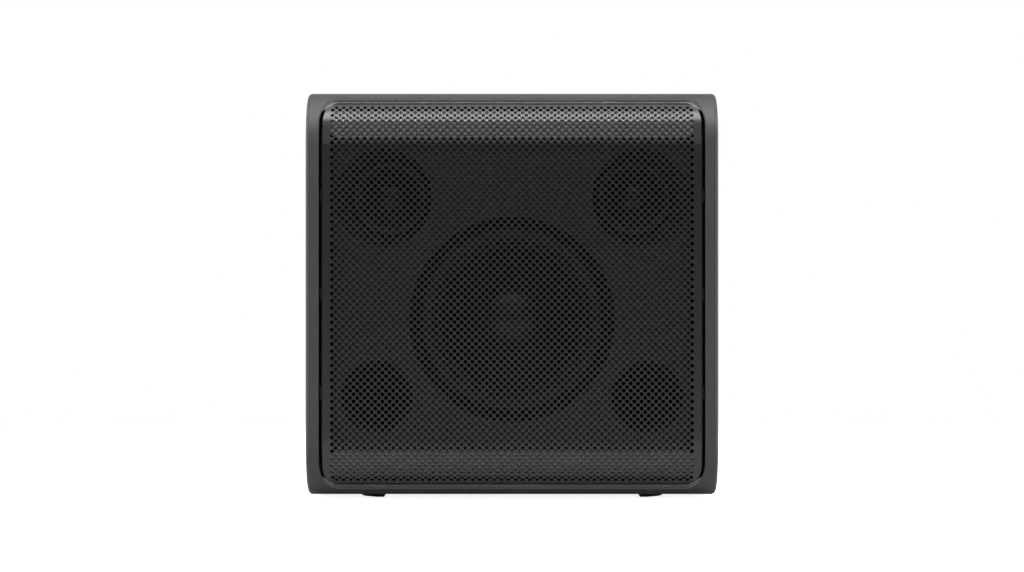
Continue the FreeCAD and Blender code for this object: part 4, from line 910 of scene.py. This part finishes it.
def lip_rings(up, in_reach, back_reach, half_in, half_back):
    """Centre, inward direction and half sizes along the lip; the section sinks away in both corners."""
    rings = []
    for step in range(LIP_STEPS + 1):
        turn = math.radians(LIP_FROM + (90 - LIP_FROM) * step / LIP_STEPS)
        share = min(1.0, max(0.0, (math.degrees(turn) - LIP_SWELL_FROM) / LIP_SWELL_OVER))
        share = share * share * (3 - 2 * share)
        x = LIP_X - LIP_CORNER_X * (1 - math.cos(turn))
        z = LIP_Z - LIP_CORNER_Z * (1 - math.sin(turn))
        inward = Vector((-math.cos(turn) / LIP_CORNER_X, -math.sin(turn) / LIP_CORNER_Z)).normalized()
        sunk = (in_reach + half_in) * 0.7 * (1 - share)
        centre = Vector((x, z)) + inward * (in_reach - sunk)
        y = shell_low.y / MM + skin_behind(z) + back_reach + 0.4 * sunk
        rings.append((Vector((centre.x, y, up * centre.y)), Vector((inward.x, 0, up * inward.y)),
                      LIP_THINNEST + half_in * share, LIP_THINNEST + half_back * share))
    mirror = Vector((-1, 1, 1))
    return rings + [(c * mirror, n * mirror, a, b) for c, n, a, b in reversed(rings)]


def along_lip(name, up, sizes, skin):
    """A closed strip of oval section along the upper (up = 1) or lower (up = -1) edge of the opening."""
    vertices, faces = [], []
    rings = lip_rings(up, *sizes)
    for centre, inward, half_in, half_back in rings:
        for k in range(SECTION_SIDES):
            angle = 2 * math.pi * k / SECTION_SIDES
            backward = half_back * math.sin(angle) * Vector((0, 1, 0))
            spot = centre + half_in * math.cos(angle) * inward - backward
            vertices.append(Vector((spot.x, spot.y, spot.z + MIDDLE_Z / MM)) * MM)
    for ring in range(len(rings) - 1):
        for k in range(SECTION_SIDES):
            a, b = ring * SECTION_SIDES + k, ring * SECTION_SIDES + (k + 1) % SECTION_SIDES
            faces.append((a, b, b + SECTION_SIDES, a + SECTION_SIDES))
    faces.append(tuple(range(SECTION_SIDES))[::-1])
    faces.append(tuple(range(len(vertices) - SECTION_SIDES, len(vertices))))
    if up < 0:
        faces = [face[::-1] for face in faces]
    piece = new_piece(name, vertices, faces)
    piece.data.set_sharp_from_angle(angle=math.radians(50))
    piece.data.materials.append(skin)
    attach(piece, "cabinet")


# painted highlight: the beads are the shell's plastic given 1.4 times the shell's tone above and 2.4 times
# below, for the light line along the lip
upper_bead_highlight_skin = moulded_plastic("upper_bead_highlight_skin", SHELL_TONE * 1.4, 0.5, grain=2200.0, depth=0.01, specular=0.35)
lower_bead_highlight_skin = moulded_plastic("lower_bead_highlight_skin", SHELL_TONE * 2.4, 0.42, grain=2200.0, depth=0.01)
# painted light: the seal's rubber is a pale grey, far lighter than black rubber, so the shaded crevice
# between the lip and the grille looks lit
seal_painted_light_skin = rubber("seal_painted_light_skin", 0.12, 0.42)
along_lip("lip_bead_upper", 1, (1.0, 0.6, 1.1, 1.1), upper_bead_highlight_skin)
along_lip("lip_bead_lower", -1, (1.2, 0.9, 1.4, 1.4), lower_bead_highlight_skin)
along_lip("grille_seal_upper", 1, (3.0, 0.70, 2.8, 0.9), seal_painted_light_skin)
along_lip("grille_seal_lower", -1, (3.0, 0.70, 2.8, 0.9), seal_painted_light_skin)


# ==== printing on the rear plate

PLATE_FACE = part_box("amp_plate")[1].y / MM
INK = 0.05


def ink_material():
    """Screen-printed ink: off-white, a little thin over the plate's grain, with pinholes."""
    g = Graph("screen_ink")
    thin = g.noise(1600.0, 4.0, 0.7)
    g.set(Base_Color=g.mix(g.span(thin, 0, 1, 0.62, 0.75), grey(0.6), grey(0.2)))
    g.set(Roughness=g.span(thin, 0.4, 0.6), Normal=g.bump(thin, 0.01 * MM))
    return g.material


def plate_strip(points, widths):
    """A printed stroke through (x, z) points, in millimetres, with its own width at each point."""
    points = np.array(points, float)
    along = np.gradient(points, axis=0)
    along /= np.linalg.norm(along, axis=1)[:, None]
    across = np.stack([-along[:, 1], along[:, 0]], -1) * (np.array(widths)[:, None] / 2)
    rows = []
    for y in (PLATE_FACE - 0.01, PLATE_FACE + INK):
        for edge in (points - across, points + across):
            rows.append(np.stack([edge[:, 0], np.full(len(edge), y), edge[:, 1]], -1) * MM)
    count = len(points)
    low_a, low_b, top_a, top_b = (np.arange(count) + count * k for k in range(4))
    faces = []
    for k in range(count - 1):
        faces.append((top_a[k], top_a[k + 1], top_b[k + 1], top_b[k]))
        faces.append((low_a[k], low_b[k], low_b[k + 1], low_a[k + 1]))
        faces.append((low_a[k], low_a[k + 1], top_a[k + 1], top_a[k]))
        faces.append((low_b[k + 1], low_b[k], top_b[k], top_b[k + 1]))
    faces.append((low_a[0], top_a[0], top_b[0], low_b[0]))
    faces.append((low_b[-1], top_b[-1], top_a[-1], low_a[-1]))
    return np.concatenate(rows), faces


def printed(name, strokes, ink):
    vertices, faces = [], []
    for points, widths in strokes:
        base = sum(len(block) for block in vertices)
        block, block_faces = plate_strip(points, widths)
        vertices.append(block)
        faces += [tuple(int(v) + base for v in face) for face in block_faces]
    piece = new_piece(name, np.concatenate(vertices), faces, smooth=False)
    piece.data.materials.append(ink)
    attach(piece, "cabinet")


def line(start, end, width):
    return [start, end], [width, width]


def dial_point(centre, radius, degrees):
    """A point on a dial; 0 degrees is straight up and angles grow clockwise as seen from behind."""
    angle = math.radians(degrees)
    return centre[0] - radius * math.sin(angle), centre[1] + radius * math.cos(angle)


def dial_strokes(centre, wedge):
    strokes = []
    for index in range(11):
        degrees = -150 + 30 * index
        length = 2.2 if index in (0, 5, 10) else 1.4
        inner, outer = dial_point(centre, 12.0, degrees), dial_point(centre, 12.0 + length, degrees)
        strokes.append(line(inner, outer, 0.45))
    if wedge:
        turns = [-140 + 280 * k / 48 for k in range(49)]
        widths = [0.15 + 1.1 * k / 48 for k in range(49)]
        strokes.append(([dial_point(centre, 15.4, t) for t in turns], widths))
    return strokes


def ring_stroke(centre, radius, width):
    return [dial_point(centre, radius, 360 * k / 32) for k in range(33)], [width] * 33


def print_rear_plate():
    ink = ink_material()
    for name, wedge in (("gain_knob", True), ("tone_knob", False)):
        x, z = axis_of(name)
        printed(name.replace("knob", "dial"), dial_strokes((x / MM, z / MM), wedge), ink)
    low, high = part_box("power_switch_body")
    x, top, bottom = (low.x + high.x) / 2 / MM, high.z / MM + 3.4, low.z / MM - 3.4
    bar = line((x, top - 1.7), (x, top + 1.7), 0.6)
    printed("switch_marks", [bar, ring_stroke((x, bottom), 1.7, 0.6)], ink)
    x, z = (value / MM for value in axis_of("line_in_jack"))
    arrow = [line((x - 3.0, z - 9.6), (x + 3.0, z - 9.6), 0.5)]
    for start in ((x, z - 13.4), (x - 1.3, z - 12.0), (x + 1.3, z - 12.0)):
        arrow.append(line(start, (x, z - 10.6), 0.5))
    printed("input_mark", arrow, ink)
    low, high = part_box("amp_plate")
    edge_x, low_z, high_z = high.x / MM - 11.5, low.z / MM + 9.5, high.z / MM - 9.5
    corners = [(edge_x, low_z), (edge_x, high_z), (-edge_x, high_z), (-edge_x, low_z)]
    sides = [line(a, b, 0.3) for a, b in zip(corners, corners[1:] + corners[:1])]
    printed("plate_border", sides, ink)


print_rear_plate()


# ==== studio

def camera_only(tree, seen, otherwise):
    """Mixes two shaders: one for what the camera sees directly and one for every bounce."""
    path = tree.nodes.new("ShaderNodeLightPath")
    mixed = tree.nodes.new("ShaderNodeMixShader")
    tree.links.new(path.outputs["Is Camera Ray"], mixed.inputs[0])
    tree.links.new(otherwise, mixed.inputs[1])
    tree.links.new(seen, mixed.inputs[2])
    return mixed.outputs[0]


def white_room():
    """White to the camera; as a light it is dim all round and bright only where the backdrop stands."""
    world = bpy.data.worlds.new("white_room")
    world.use_nodes = True
    tree = world.node_tree
    seen = tree.nodes["Background"]
    seen.inputs["Color"].default_value = (1, 1, 1, 1)
    bounce = tree.nodes.new("ShaderNodeBackground")
    bounce.inputs["Color"].default_value = (1, 1, 1, 1)
    ahead = tree.nodes.new("ShaderNodeSeparateXYZ")
    tree.links.new(tree.nodes.new("ShaderNodeTexCoord").outputs["Generated"], ahead.inputs[0])
    share = tree.nodes.new("ShaderNodeMapRange")
    tree.links.new(ahead.outputs["Y"], share.inputs["Value"])
    limits = {"From Min": 0.8, "From Max": 1.0, "To Min": ROOM_FILL, "To Max": BACKDROP}
    for socket, value in limits.items():
        share.inputs[socket].default_value = value
    tree.links.new(share.outputs[0], bounce.inputs["Strength"])
    tree.links.new(camera_only(tree, seen.outputs[0], bounce.outputs[0]),
                   tree.nodes["World Output"].inputs["Surface"])
    bpy.context.scene.world = world


def glowing_paper(g, tone, strength):
    """Matt paper of one tone with an even light of its own added."""
    both = g.node("ShaderNodeAddShader")
    g.feed(both.inputs[0], g.node("ShaderNodeBsdfDiffuse", Color=grey(tone)).outputs[0])
    g.feed(both.inputs[1], g.node("ShaderNodeEmission", Strength=strength).outputs[0])
    return both.outputs[0]


def studio_floor():
    reach = 30.0
    corners = [(-reach, -reach, 0), (reach, -reach, 0), (reach, reach, 0), (-reach, reach, 0)]
    floor = new_piece("studio_floor", corners, [(0, 1, 2, 3)], smooth=False)
    g = Graph("studio_floor")
    distance = g.node("ShaderNodeVectorMath", operation="LENGTH")
    g.feed(distance.inputs[0], g.place)
    fade = g.span(distance.outputs["Value"], 0, 1, 0.35, 1.1)
    seen = g.node("ShaderNodeMixShader")
    white = g.node("ShaderNodeEmission").outputs[0]
    for socket, source in zip(seen.inputs, (fade, glowing_paper(g, 0.9, FLOOR_LIFT), white)):
        g.feed(socket, source)
    bounced = glowing_paper(g, FLOOR_BOUNCE, FLOOR_GLOW)
    surface = g.tree.nodes["Material Output"].inputs["Surface"]
    g.feed(surface, camera_only(g.tree, seen.outputs[0], bounced))
    floor.data.materials.append(g.material)


def softbox(name, place, target, width, height, power):
    light = bpy.data.lights.new(name, "AREA")
    light.shape = "RECTANGLE"
    light.size, light.size_y = width, height
    light.energy = power
    lamp = bpy.data.objects.new(name, light)
    lamp.location = place
    lamp.visible_camera = False
    lamp.rotation_euler = (Vector(target) - Vector(place)).to_track_quat("-Z", "Y").to_euler()
    bpy.context.scene.collection.objects.link(lamp)


KEY_POWER = 44.0
OVERHEAD_POWER = 11.0
FRONT_HIGH_POWER = 4.5
FILL_POWER = 1.5
BACK_POWER = 1.0
SIDE_POWER = 30.0
ROOM_FILL = 0.05
BACKDROP = 0.8
FLOOR_LIFT = 0.9
FLOOR_BOUNCE = 0.5
FLOOR_GLOW = 0.12
CAMERA_DISTANCE = 2.019
CAMERA_HEIGHT = 0.1629
SENSOR_WIDTH = 36.0
FOCAL_LENGTH = 93.75

white_room()
studio_floor()
middle = Vector((0, 0, MIDDLE_Z))
softbox("key", (0, -0.80, 1.60), middle, 1.9, 0.9, KEY_POWER)
softbox("overhead", (0, 0.15, 1.75), middle, 1.9, 1.0, OVERHEAD_POWER)
softbox("front_high", (0, -2.6, 1.65), middle, 2.6, 1.1, FRONT_HIGH_POWER)
softbox("front_fill", (0, -3.2, 0.75), middle, 2.6, 1.8, FILL_POWER)
softbox("back_edge", (0, 1.5, 1.15), (0, 0, 0.31), 2.4, 0.9, BACK_POWER)
for side in (-1, 1):
    softbox("side_strip", (side * 1.5, 0.1, 0.5), (side * 0.15, -0.1, MIDDLE_Z), 1.3, 1.5, SIDE_POWER)

lens = bpy.data.cameras.new("camera")
lens.sensor_width = SENSOR_WIDTH
lens.lens = FOCAL_LENGTH
lens.clip_start = 0.05
camera = bpy.data.objects.new("camera", lens)
camera.location = (0, shell_low.y - CAMERA_DISTANCE, CAMERA_HEIGHT)
camera.rotation_euler = (math.radians(90), 0, 0)
bpy.context.scene.collection.objects.link(camera)
bpy.context.scene.camera = camera
bpy.context.scene.view_settings.view_transform = "Standard"
